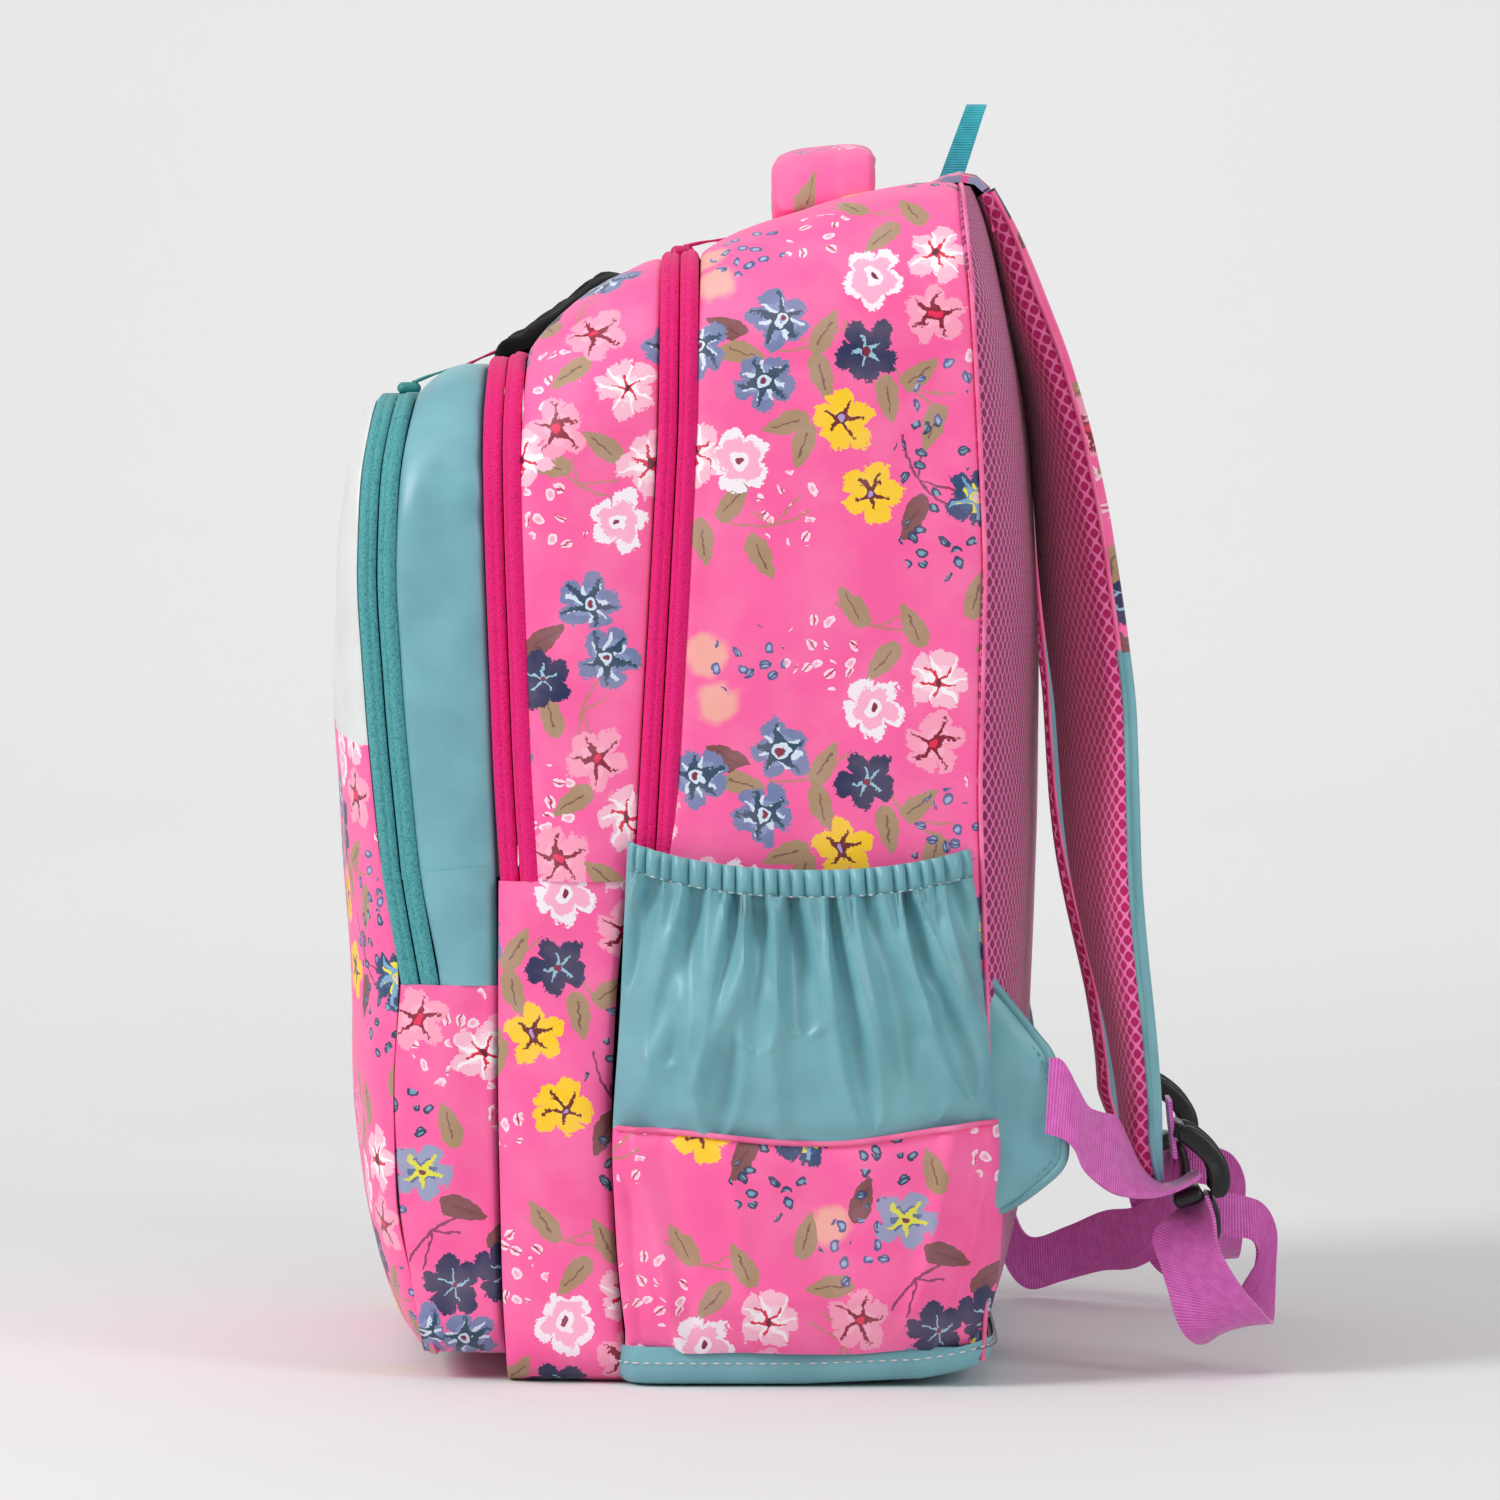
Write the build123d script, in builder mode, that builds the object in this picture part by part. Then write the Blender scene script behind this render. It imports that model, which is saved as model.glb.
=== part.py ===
"""A child's school backpack, as the sewn and moulded pieces it is made of.

Millimetres. +Z is up, the front pocket faces -Y, the wearer's side faces +Y, and X runs across
the bag. The origin is on the underside, in the middle of the bag's width and depth.
"""
from build123d import *
import math
import os

os.makedirs("parts", exist_ok=True)

# ---- driving dimensions ------------------------------------------------------------------
WALL = 4.0            # fabric, foam and lining, taken together as one wall
GAP = 0.4             # between pieces of different bodies
TAPE_WIDTH = 8.0      # one half of a zip, from its sewn edge to its teeth
TAPE_THICK = 2.4
CORNER = 55.0         # radius of the bag's upper corners, seen from the front

MAIN_HALF = 152.0     # half widths of the three compartments and the front face
SECOND_HALF = 147.0
POCKET_HALF = 138.0
FACE_HALF = 134.0

FOLD_Z = 183.0        # where the compartments fold forward when their zips are open
SECOND_LOW = 196.0    # lowest rigid point of each compartment above that fold
POCKET_LOW = 222.0
FACE_LOW = 234.0

# Zip centre lines and panel edges from the side, as (y, z) from the fold upwards
MAIN_ZIP = [(-17.0, 183.0), (-15.5, 210.0), (-11.5, 281.0), (-8.0, 349.0), (-7.5, 411.0)]
SECOND_ZIP = [(-66.0, 183.0), (-68.5, 222.0), (-71.5, 304.0), (-72.5, 349.0), (-71.0, 373.0)]
POCKET_ZIP = [(-109.0, 183.0), (-114.0, 234.0), (-118.0, 290.0), (-116.5, 335.0), (-112.0, 359.0)]
BACK_SEAM = [(104.0, 6.0), (105.0, 120.0), (100.5, 215.0), (103.0, 300.0), (99.0, 380.0), (95.0, 437.0)]
FACE_UPPER = [(-130.0, 234.0), (-132.5, 262.0), (-131.5, 297.0), (-128.0, 330.0), (-121.0, 355.0)]
FACE_LOWER = [(-105.0, 10.0), (-116.0, 37.0), (-124.5, 72.0), (-125.5, 122.0), (-128.0, 182.6)]
LOWER_CREASE = [(-101.0, 10.0), (-111.0, 60.0), (-112.0, 145.0), (-109.0, 182.6)]
BACK_BULGE = [(105.0, 14.0), (119.0, 60.0), (124.0, 130.0), (126.5, 240.0), (126.0, 320.0),
              (117.0, 378.0), (105.5, 430.0)]

CREASE_Y = -28.0      # where the main compartment meets the second one, below the fold
FRONT_CREASE_Y = -72.0
BASE_THICK = 6.0
WEBBING = 25.0        # webbing width
WEBBING_THICK = 1.6

STRAP_INNER = [(105.6, 438.0), (110.5, 424.0), (117.0, 404.0), (127.0, 376.0), (135.5, 346.0),
               (142.0, 316.0), (147.5, 280.0), (151.0, 248.0), (152.0, 216.0), (151.5, 182.0),
               (153.0, 155.0), (156.5, 128.0), (159.0, 101.0), (160.0, 76.0)]
STRAP_OUTER = [(110.0, 439.0), (117.0, 424.0), (126.5, 404.0), (138.0, 376.0), (147.0, 346.0),
               (153.5, 316.0), (159.0, 280.0), (162.5, 248.0), (163.5, 216.0), (163.0, 182.0),
               (164.5, 155.0), (168.0, 128.0), (170.5, 101.0), (169.0, 76.0)]
STRAP_COVER = 2.5     # outer fabric of the strap, over its foam
STRAP_SPLIT_Z = 266.0  # printed fabric above, plain fabric below
STRAP_EDGE_IN = [(24.0, 440.0), (30.0, 380.0), (50.0, 300.0), (72.0, 200.0), (88.0, 110.0), (93.0, 72.0)]
STRAP_EDGE_OUT = [(92.0, 440.0), (98.0, 380.0), (118.0, 300.0), (134.0, 200.0), (134.0, 110.0), (123.0, 72.0)]


def shifted(points, dy):
    """The same line, moved dy along Y."""
    return [(y + dy, z) for y, z in points]


def save(piece, name):
    """Labels a finished piece and writes its file."""
    piece.part.label = name
    export_step(piece.part, f"parts/{name}.step")


def side_block(front, back, half, corner=CORNER, floor_radius=0.0):
    """A solid between two lines seen from the side, both listed upwards, with rounded upper corners."""
    low = min(z for _, z in front + back)
    high = max(z for _, z in front + back)
    with BuildPart() as block:
        with BuildSketch(Plane.YZ):
            with BuildLine():
                Polyline(*front, *reversed(back), close=True)
            make_face()
        extrude(amount=half, both=True)
        with BuildSketch(Plane.XZ):
            with BuildLine():
                Polyline((-half, low), (half, low), (half, high), (-half, high), close=True)
            make_face()
            if corner:
                fillet(vertices().group_by(Axis.Y)[-1], radius=corner)
            if floor_radius:
                fillet(vertices().group_by(Axis.Y)[0], radius=floor_radius)
        extrude(amount=400, both=True, mode=Mode.INTERSECT)
    return block.part


def lowered(points, top_drop, base=None):
    """The line with its top end lower by top_drop and, if given, its bottom end at z = base."""
    y_top, z_top = points[-1]
    line = points[:-1] + [(y_top, z_top - top_drop)]
    if base is not None:
        line = [(line[0][0], base)] + line[1:]
    return line


def trimmed(points, low):
    """The part of an upward line that is above z = low, starting exactly there."""
    kept = [p for p in points if p[1] > low + 1.0]
    below = [p for p in points if p[1] <= low + 1.0][-1]
    (y0, z0), (y1, z1) = below, kept[0]
    y_low = y0 + (y1 - y0) * (low - z0) / (z1 - z0)
    return [(y_low, low)] + kept


def tape_half(line, low, half, from_dy, to_dy):
    """Half of a zip: a band that follows the compartment's edge up one side, over and down."""
    front = shifted(trimmed(line, low), from_dy)
    back = shifted(trimmed(line, low), to_dy)
    with BuildPart() as band:
        add(side_block(front, back, half))
        inner_front = lowered(shifted(trimmed(line, low), from_dy - 1), TAPE_THICK, low - 1)
        inner_back = lowered(shifted(trimmed(line, low), to_dy + 1), TAPE_THICK, low - 1)
        add(side_block(inner_front, inner_back, half - TAPE_THICK, CORNER - TAPE_THICK), mode=Mode.SUBTRACT)
    return band


# ---- main compartment --------------------------------------------------------------------
MAIN_REAR_EDGE = shifted(MAIN_ZIP, TAPE_WIDTH)
main_front = [(CREASE_Y, BASE_THICK), (CREASE_Y, FOLD_Z - GAP)] + MAIN_REAR_EDGE
main_back = BACK_SEAM
with BuildPart() as main_shell:
    add(side_block(main_front, main_back, MAIN_HALF))
    cavity_front = [(CREASE_Y + WALL, BASE_THICK + WALL), (CREASE_Y + WALL, FOLD_Z - 25.0),
                    (-40.0, FOLD_Z - 12.0), (-40.0, 405.0 - WALL)]
    cavity_back = [(100.0, BASE_THICK + WALL), (101.0, 120.0), (96.5, 215.0), (99.0, 300.0),
                   (95.0, 380.0), (92.0, 433.0)]
    add(side_block(cavity_front, cavity_back, MAIN_HALF - WALL, CORNER - WALL), mode=Mode.SUBTRACT)
save(main_shell, "main_shell")

with BuildPart() as base_panel:
    with BuildSketch(Plane.XY):
        with Locations((0, (CREASE_Y + 104.0) / 2)):
            RectangleRounded(2 * MAIN_HALF, 104.0 - CREASE_Y, 12)
    extrude(amount=BASE_THICK)
save(base_panel, "base_panel")

# ---- padded back, with the stiff sheet and the sleeve inside -----------------------------
with BuildPart() as back_panel:
    with BuildSketch(Plane.YZ):
        with BuildLine():
            Polyline(*BACK_SEAM[1:], *reversed(BACK_BULGE), (104.1, 14.0), close=True)
        make_face()
    extrude(amount=MAIN_HALF - 2, both=True)
    with BuildSketch(Plane.XY):
        with BuildLine():
            Line((-MAIN_HALF, 80.0), (MAIN_HALF, 80.0))
            Line((MAIN_HALF, 80.0), (MAIN_HALF, 104.0))
            ThreePointArc((MAIN_HALF, 104.0), (0, 127.0), (-MAIN_HALF, 104.0))
            Line((-MAIN_HALF, 104.0), (-MAIN_HALF, 80.0))
        make_face()
    extrude(amount=500, mode=Mode.INTERSECT)
    with BuildSketch(Plane.XZ):
        with Locations((0, 222.0)):
            RectangleRounded(2 * MAIN_HALF - 4, 432.0, CORNER - 5)
    extrude(amount=400, both=True, mode=Mode.INTERSECT)
save(back_panel, "back_panel")

with BuildPart() as back_stiffener:
    with BuildSketch(Plane.XZ.offset(-95.0)):
        with Locations((0, 192.0)):
            RectangleRounded(250, 350, 20)
    extrude(amount=2.5)
save(back_stiffener, "back_stiffener")

SLEEVE_Y = 80.0
with BuildPart() as laptop_sleeve:
    with Locations((0, SLEEVE_Y + 6.0, 150.0)):
        Box(240, 12.4, 270)
    with Locations((0, SLEEVE_Y + 8.1, 155.0)):
        Box(232, 8.3, 270.2, mode=Mode.SUBTRACT)
save(laptop_sleeve, "laptop_sleeve")

# ---- lower ends of the second compartment and of the front pocket ------------------------
low_z = FOLD_Z - GAP
with BuildPart() as second_foot:
    add(side_block([(FRONT_CREASE_Y, 0.0), (FRONT_CREASE_Y, low_z)],
                   [(CREASE_Y - GAP, 0.0), (CREASE_Y - GAP, low_z)], SECOND_HALF, 0.0, 12.0))
    with Locations((0, (FRONT_CREASE_Y + CREASE_Y) / 2, WALL + 100)):
        Box(2 * (SECOND_HALF - WALL), CREASE_Y - FRONT_CREASE_Y - 2 * WALL, 200, mode=Mode.SUBTRACT)
save(second_foot, "second_foot")

with BuildPart() as pocket_foot:
    add(side_block(LOWER_CREASE, [(FRONT_CREASE_Y - GAP, 10.0), (FRONT_CREASE_Y - GAP, low_z)],
                   POCKET_HALF, 0.0, 12.0))
    with Locations((0, -100.0, 10.0 + WALL + 100)):
        Box(2 * (POCKET_HALF - WALL), 48.0, 200, mode=Mode.SUBTRACT)
save(pocket_foot, "pocket_foot")

with BuildPart() as face_foot:
    face_rear = shifted(LOWER_CREASE, -GAP)
    add(side_block(FACE_LOWER, face_rear, FACE_HALF, 0.0, 12.0))
    hollow_front = [(-113.0, 40.0), (-120.5, 74.0), (-121.5, 122.0), (-124.0, 190.0)]
    hollow_rear = [(-90.0, 40.0), (-90.0, 190.0)]
    add(side_block(hollow_front, hollow_rear, FACE_HALF - WALL, 0.0), mode=Mode.SUBTRACT)
save(face_foot, "face_foot")

# ---- second compartment, above the fold --------------------------------------------------
second_front = shifted(trimmed(SECOND_ZIP, SECOND_LOW), TAPE_WIDTH)
second_back = shifted(trimmed(MAIN_ZIP, SECOND_LOW), -TAPE_WIDTH)
with BuildPart() as second_shell:
    add(side_block(second_front, second_back, SECOND_HALF))
    add(side_block(lowered(shifted(second_front, -1), WALL, SECOND_LOW - 1),
                   lowered(shifted(second_back, 1), WALL, SECOND_LOW - 1),
                   SECOND_HALF - WALL, CORNER - WALL), mode=Mode.SUBTRACT)
save(second_shell, "second_shell")

with BuildPart() as divider_panel:
    divider_front = shifted(trimmed(MAIN_ZIP, SECOND_LOW), -TAPE_WIDTH - 2.0)
    divider_back = shifted(trimmed(MAIN_ZIP, SECOND_LOW), -TAPE_WIDTH)
    add(side_block(lowered(divider_front, WALL + 3.0), lowered(divider_back, WALL + 3.0),
                   SECOND_HALF - WALL - 0.3, CORNER - WALL))
save(divider_panel, "divider_panel")

# ---- front pocket, above the fold --------------------------------------------------------
pocket_front = shifted(trimmed(POCKET_ZIP, POCKET_LOW), TAPE_WIDTH)
pocket_back = shifted(trimmed(SECOND_ZIP, POCKET_LOW), -TAPE_WIDTH)
with BuildPart() as pocket_gusset:
    add(side_block(pocket_front, pocket_back, POCKET_HALF))
    add(side_block(lowered(shifted(pocket_front, -1), WALL, POCKET_LOW - 1),
                   lowered(shifted(pocket_back, -2.5), WALL + 1.0, POCKET_LOW - 1),
                   POCKET_HALF - WALL, CORNER - WALL), mode=Mode.SUBTRACT)
save(pocket_gusset, "pocket_gusset")

FACE_CORNER = 50.0
FACE_SPLIT_Z = 244.0  # the plain panel is above, the printed one below
face_rear_edge = shifted(trimmed(POCKET_ZIP, FACE_LOW), -TAPE_WIDTH + 2.0)
with BuildPart() as face_block:
    add(side_block(FACE_UPPER, face_rear_edge, FACE_HALF, FACE_CORNER))
    face_hollow = [(-126.0, FACE_LOW - 1), (-128.0, 262.0), (-127.0, 297.0), (-123.5, 326.0), (-121.0, 340.0)]
    add(side_block(face_hollow, [(-90.0, FACE_LOW - 1), (-90.0, 340.0)],
                   FACE_HALF - 2 * WALL, FACE_CORNER - 2 * WALL), mode=Mode.SUBTRACT)
with BuildPart() as face_upper_panel:
    add(face_block.part)
    split(bisect_by=Plane.XY.offset(FACE_SPLIT_Z), keep=Keep.TOP)
save(face_upper_panel, "face_upper_panel")
with BuildPart() as face_lower_panel:
    add(face_block.part)
    split(bisect_by=Plane.XY.offset(FACE_SPLIT_Z), keep=Keep.BOTTOM)
save(face_lower_panel, "face_lower_panel")

# ---- soft folds that join each compartment to its lower end ------------------------------
def fold_band(front, back, half, low, high):
    """The two side walls that crumple when a compartment leans forward."""
    with BuildPart() as fold:
        add(side_block([(front, low), (front, high)], [(back, low), (back, high)], half, 0.0))
        with Locations(((0, (front + back) / 2, (low + high) / 2))):
            Box(2 * (half - WALL), back - front + 2, high - low + 2, mode=Mode.SUBTRACT)
    return fold


save(fold_band(-59.5, -26.0, SECOND_HALF, FOLD_Z, SECOND_LOW - GAP), "second_fold")
save(fold_band(-105.5, -77.5, POCKET_HALF, FOLD_Z, POCKET_LOW - GAP), "pocket_fold")
with BuildPart() as face_fold:
    add(side_block([(-128.0, FOLD_Z), (-130.0, FACE_LOW - GAP)],
                   [(-124.0, FOLD_Z), (-126.0, FACE_LOW - GAP)], FACE_HALF, 0.0))
save(face_fold, "face_fold")

# ---- zips --------------------------------------------------------------------------------
save(tape_half(MAIN_ZIP, FOLD_Z + 1.0, MAIN_HALF, GAP / 2, TAPE_WIDTH), "main_zip_rear")
save(tape_half(MAIN_ZIP, SECOND_LOW, SECOND_HALF, -TAPE_WIDTH, -GAP / 2), "main_zip_front")
save(tape_half(SECOND_ZIP, SECOND_LOW, SECOND_HALF, GAP / 2, TAPE_WIDTH), "second_zip_rear")
save(tape_half(SECOND_ZIP, POCKET_LOW, POCKET_HALF, -TAPE_WIDTH, -GAP / 2), "second_zip_front")
save(tape_half(POCKET_ZIP, POCKET_LOW, POCKET_HALF, GAP / 2, TAPE_WIDTH), "pocket_zip_rear")
save(tape_half(POCKET_ZIP, FACE_LOW, FACE_HALF, -TAPE_WIDTH + 2.0, -GAP / 2), "pocket_zip_front")

SLIDER = (12.0, 9.0, 3.4)      # a zip slider: along the zip, across it, and its height
BAIL_RADIUS = 0.9
BAIL_PLAY = 0.06
BAIL_RISE = 2.8                # the bail's axis above the slider
BARREL_RADIUS = 1.8
PULL = (26.0, 6.2, 1.6)        # a pull tab: length, width, thickness


def slider_at(x, y, z):
    """A zip slider on top of the tape at (x, y, z), with the bail that holds its pull."""
    base = z + GAP
    with BuildPart() as slider:
        with Locations((x, y, base + SLIDER[2] / 2)):
            Box(*SLIDER)
        fillet(slider.edges().filter_by(Axis.Z), radius=2.5)
        with Locations((x - 4.0, y, base + SLIDER[2] + 1.8), (x + 4.0, y, base + SLIDER[2] + 1.8)):
            Box(1.4, 3.6, 4.2)
        with Locations(Location((x, y, base + SLIDER[2] + BAIL_RISE), (0, 90, 0))):
            Cylinder(BAIL_RADIUS, 8.0)
    return slider


def pull_at(x, y, z, slope, way):
    """A pull tab on that bail. It lies forward and down (way -1) or back and up (way 1) at slope degrees."""
    hinge_z = z + GAP + SLIDER[2] + BAIL_RISE
    tilt = math.radians(slope)
    plane = Plane(origin=(x, y, hinge_z), x_dir=(1, 0, 0), z_dir=(0, -math.sin(tilt), math.cos(tilt)))
    with BuildPart() as pull:
        with BuildSketch(plane.offset(-PULL[2] / 2)):
            with Locations((0, way * PULL[0] / 2)):
                RectangleRounded(PULL[1], PULL[0], 2.4)
        extrude(amount=PULL[2])
        with Locations(Location((x, y, hinge_z), (0, 90, 0))):
            Cylinder(BARREL_RADIUS, PULL[1])
            Cylinder(BAIL_RADIUS + BAIL_PLAY, PULL[1] + 2, mode=Mode.SUBTRACT)
    return pull


# For each zip: its slider's x, the top of its line, and how its pull tab lies
ZIPS = {
    "main": (-20.0, MAIN_ZIP[-1], 14.0, 1),
    "second": (24.0, SECOND_ZIP[-1], 13.0, -1),
    "pocket": (-24.0, POCKET_ZIP[-1], 18.0, 1),
}
for zip_name, (zip_x, (zip_y, zip_z), slope, way) in ZIPS.items():
    save(slider_at(zip_x, zip_y, zip_z), f"{zip_name}_zip_slider")
    save(pull_at(zip_x, zip_y, zip_z, slope, way), f"{zip_name}_zip_pull")

# ---- blank badge on the second compartment's slope ---------------------------------------
BADGE_THICK = 3.0
with BuildPart() as badge:
    slope_start, slope_end = second_front[-1], second_back[-1]
    with BuildSketch(Plane.YZ):
        with BuildLine():
            rise = (slope_end[1] - slope_start[1]) / (slope_end[0] - slope_start[0])
            low_end, high_end = slope_start[0] + 1.0, slope_end[0] - 17.0
            low_z_end = slope_start[1] + rise * (low_end - slope_start[0])
            high_z_end = slope_start[1] + rise * (high_end - slope_start[0])
            Polyline((low_end, low_z_end), (high_end, high_z_end), (high_end, high_z_end + BADGE_THICK),
                     (low_end, low_z_end + BADGE_THICK), close=True)
        make_face()
    extrude(amount=36, both=True)
save(badge, "badge")

# ---- carrying handle, the strip it is sewn to, the yoke and the hanging loop -------------
HANDLE_Y = (26.0, 66.0)
with BuildPart() as grab_handle:
    with BuildSketch(Plane.XZ.offset(-HANDLE_Y[1])):
        with BuildLine():
            Polyline((-66, 434.6), (-66, 441), (-46, 451), (46, 451), (66, 441), (66, 434.6),
                     (56, 434.6), (44, 441), (-44, 441), (-56, 434.6), close=True)
        make_face()
    extrude(amount=HANDLE_Y[1] - HANDLE_Y[0])
    fillet(grab_handle.edges().filter_by(Axis.Y).group_by(Axis.Z)[-1], radius=8)
save(grab_handle, "grab_handle")

top_slope = (437.0 - 411.0) / (95.0 - MAIN_REAR_EDGE[-1][0])


def top_z(y):
    """Height of the main compartment's top at y."""
    return 411.0 + (y - MAIN_REAR_EDGE[-1][0]) * top_slope


with BuildPart() as handle_base:
    with BuildSketch(Plane.YZ):
        with BuildLine():
            Polyline((HANDLE_Y[0], top_z(HANDLE_Y[0])), (HANDLE_Y[1], top_z(HANDLE_Y[1])),
                     (HANDLE_Y[1], 434.2), (HANDLE_Y[0], 434.2), close=True)
        make_face()
    extrude(amount=70, both=True)
    with Locations((0, (HANDLE_Y[0] + HANDLE_Y[1]) / 2, 430)):
        Box(100, 60, 60, mode=Mode.SUBTRACT)
save(handle_base, "handle_base")

with BuildPart() as strap_yoke:
    with BuildSketch(Plane.YZ):
        with BuildLine():
            Polyline((72.0, top_z(72.0)), (95.0, top_z(95.0)), (104.8, 431.0), (104.8, 438.6),
                     (97.0, 440.6), (72.0, top_z(72.0) + 2.4), close=True)
        make_face()
    extrude(amount=94, both=True)
    with Locations((0, 100.0, 425.0)):
        Box(300, 9.0, 13.0, mode=Mode.SUBTRACT)
save(strap_yoke, "strap_yoke")

with BuildPart() as hang_loop:
    with BuildSketch(Plane.XZ.offset(-85.0)):
        with BuildLine():
            Polyline((-4.4, 441.0), (-4.4, 460.0), (-2.0, 463.5), (2.0, 463.5), (4.4, 460.0), (4.4, 441.0),
                     (3.2, 441.0), (3.2, 459.4), (1.6, 462.0), (-1.6, 462.0), (-3.2, 459.4), (-3.2, 441.0),
                     close=True)
        make_face()
    extrude(amount=-30)
    with BuildSketch(Plane.YZ):
        with BuildLine():
            Polyline((88.0, 440.0), (97.5, 440.0), (107.0, 466.0), (97.5, 466.0), close=True)
        make_face()
    extrude(amount=10, both=True, mode=Mode.INTERSECT)
save(hang_loop, "hang_loop")

# ---- side pockets ------------------------------------------------------------------------
POCKET_FRONT_Y, POCKET_REAR_Y, POCKET_BULGE = -31.0, 103.0, 22.0
POCKET_SEAM_Z, POCKET_MOUTH_Z, CASING = 93.0, 188.0, 10.0


def pocket_ring(side, low, high, closed_floor=False):
    """A curved wall that stands off the bag's side, from z = low to z = high."""
    outer_x = side * (MAIN_HALF + GAP)
    mid_y = (POCKET_FRONT_Y + POCKET_REAR_Y) / 2
    with BuildPart() as ring:
        with BuildSketch(Plane.XY.offset(low)):
            with BuildLine():
                ThreePointArc((outer_x, POCKET_FRONT_Y), (outer_x + side * POCKET_BULGE, mid_y),
                              (outer_x, POCKET_REAR_Y))
                Line((outer_x, POCKET_REAR_Y), (outer_x, POCKET_FRONT_Y))
            make_face()
        extrude(amount=high - low)
        with BuildSketch(Plane.XY.offset(low + (3.0 if closed_floor else 0.0))):
            with BuildLine():
                ThreePointArc((outer_x, POCKET_FRONT_Y + 9), (outer_x + side * (POCKET_BULGE - 3), mid_y),
                              (outer_x, POCKET_REAR_Y - 9))
                Line((outer_x, POCKET_REAR_Y - 9), (outer_x, POCKET_FRONT_Y + 9))
            make_face()
        extrude(amount=high - low, mode=Mode.SUBTRACT)
    return ring


for side, word in ((1, "right"), (-1, "left")):
    save(pocket_ring(side, 10.0, POCKET_SEAM_Z - GAP, closed_floor=True), f"side_pocket_foot_{word}")
    save(pocket_ring(side, POCKET_SEAM_Z, POCKET_MOUTH_Z - CASING), f"side_pocket_wall_{word}")
    save(pocket_ring(side, POCKET_MOUTH_Z - CASING, POCKET_MOUTH_Z), f"side_pocket_casing_{word}")

# ---- wings that the lower webbing is sewn to ---------------------------------------------
for side, word in ((1, "right"), (-1, "left")):
    with BuildPart() as wing:
        with BuildSketch(Plane.YZ.offset(side * 148.0)):
            with BuildLine():
                Polyline((105.4, 146.0), (127.0, 120.0), (133.0, 84.0), (112.0, 63.0), (105.4, 60.0), close=True)
            make_face()
        extrude(amount=side * 2.0)
    save(wing, f"wing_{word}")

# ---- shoulder straps ---------------------------------------------------------------------
def strap_band(inner, outer, side):
    """A curved band between two lines from the side, trimmed to the strap's outline from behind."""
    with BuildPart() as band:
        with BuildSketch(Plane.YZ):
            with BuildLine():
                Spline(*inner)
                Spline(*outer)
                Line(inner[0], outer[0])
                Line(inner[-1], outer[-1])
            make_face()
        extrude(amount=side * 160)
        with BuildSketch(Plane.XZ):
            with BuildLine():
                edge_in = [(side * x, z) for x, z in STRAP_EDGE_IN]
                edge_out = [(side * x, z) for x, z in STRAP_EDGE_OUT]
                Spline(*edge_in)
                Spline(*edge_out)
                Line(edge_in[0], edge_out[0])
                Line(edge_in[-1], edge_out[-1])
            make_face()
        extrude(amount=400, both=True, mode=Mode.INTERSECT)
    return band.part


strap_middle = [(y - STRAP_COVER, z - 0.4) for y, z in STRAP_OUTER]
for side, word in ((1, "right"), (-1, "left")):
    with BuildPart() as strap_pad:
        add(strap_band(STRAP_INNER, strap_middle, side))
    save(strap_pad, f"strap_pad_{word}")
    cover = strap_band(strap_middle, STRAP_OUTER, side)
    with BuildPart() as strap_print:
        add(cover)
        split(bisect_by=Plane.XY.offset(STRAP_SPLIT_Z), keep=Keep.TOP)
    save(strap_print, f"strap_print_{word}")
    with BuildPart() as strap_plain:
        add(cover)
        split(bisect_by=Plane.XY.offset(STRAP_SPLIT_Z), keep=Keep.BOTTOM)
    save(strap_plain, f"strap_plain_{word}")

# ---- ladder-lock buckles and webbing -----------------------------------------------------
BUCKLE_X = 108.0
BUCKLE_POINTS = [(176.5, 92.0), (188.0, 76.0), (189.5, 50.0)]
for side, word in ((1, "right"), (-1, "left")):
    with BuildPart() as buckle:
        with BuildSketch(Plane.YZ.offset(side * BUCKLE_X)):
            with BuildLine():
                outer_arc = ThreePointArc(BUCKLE_POINTS[0], BUCKLE_POINTS[1], BUCKLE_POINTS[2])
                offset(outer_arc, amount=2.0, side=Side.BOTH)
            make_face()
        extrude(amount=17.0, both=True)
        for z in (84.0, 69.0, 59.0):
            with Locations((side * BUCKLE_X, 185.0, z)):
                Box(27.0, 40.0, 3.8, mode=Mode.SUBTRACT)
    save(buckle, f"buckle_{word}")

    with BuildPart() as tip_webbing:
        with Locations((side * BUCKLE_X, 172.2, 90.0)):
            Box(WEBBING, WEBBING_THICK, 20.0)
    save(tip_webbing, f"tip_webbing_{word}")

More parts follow.
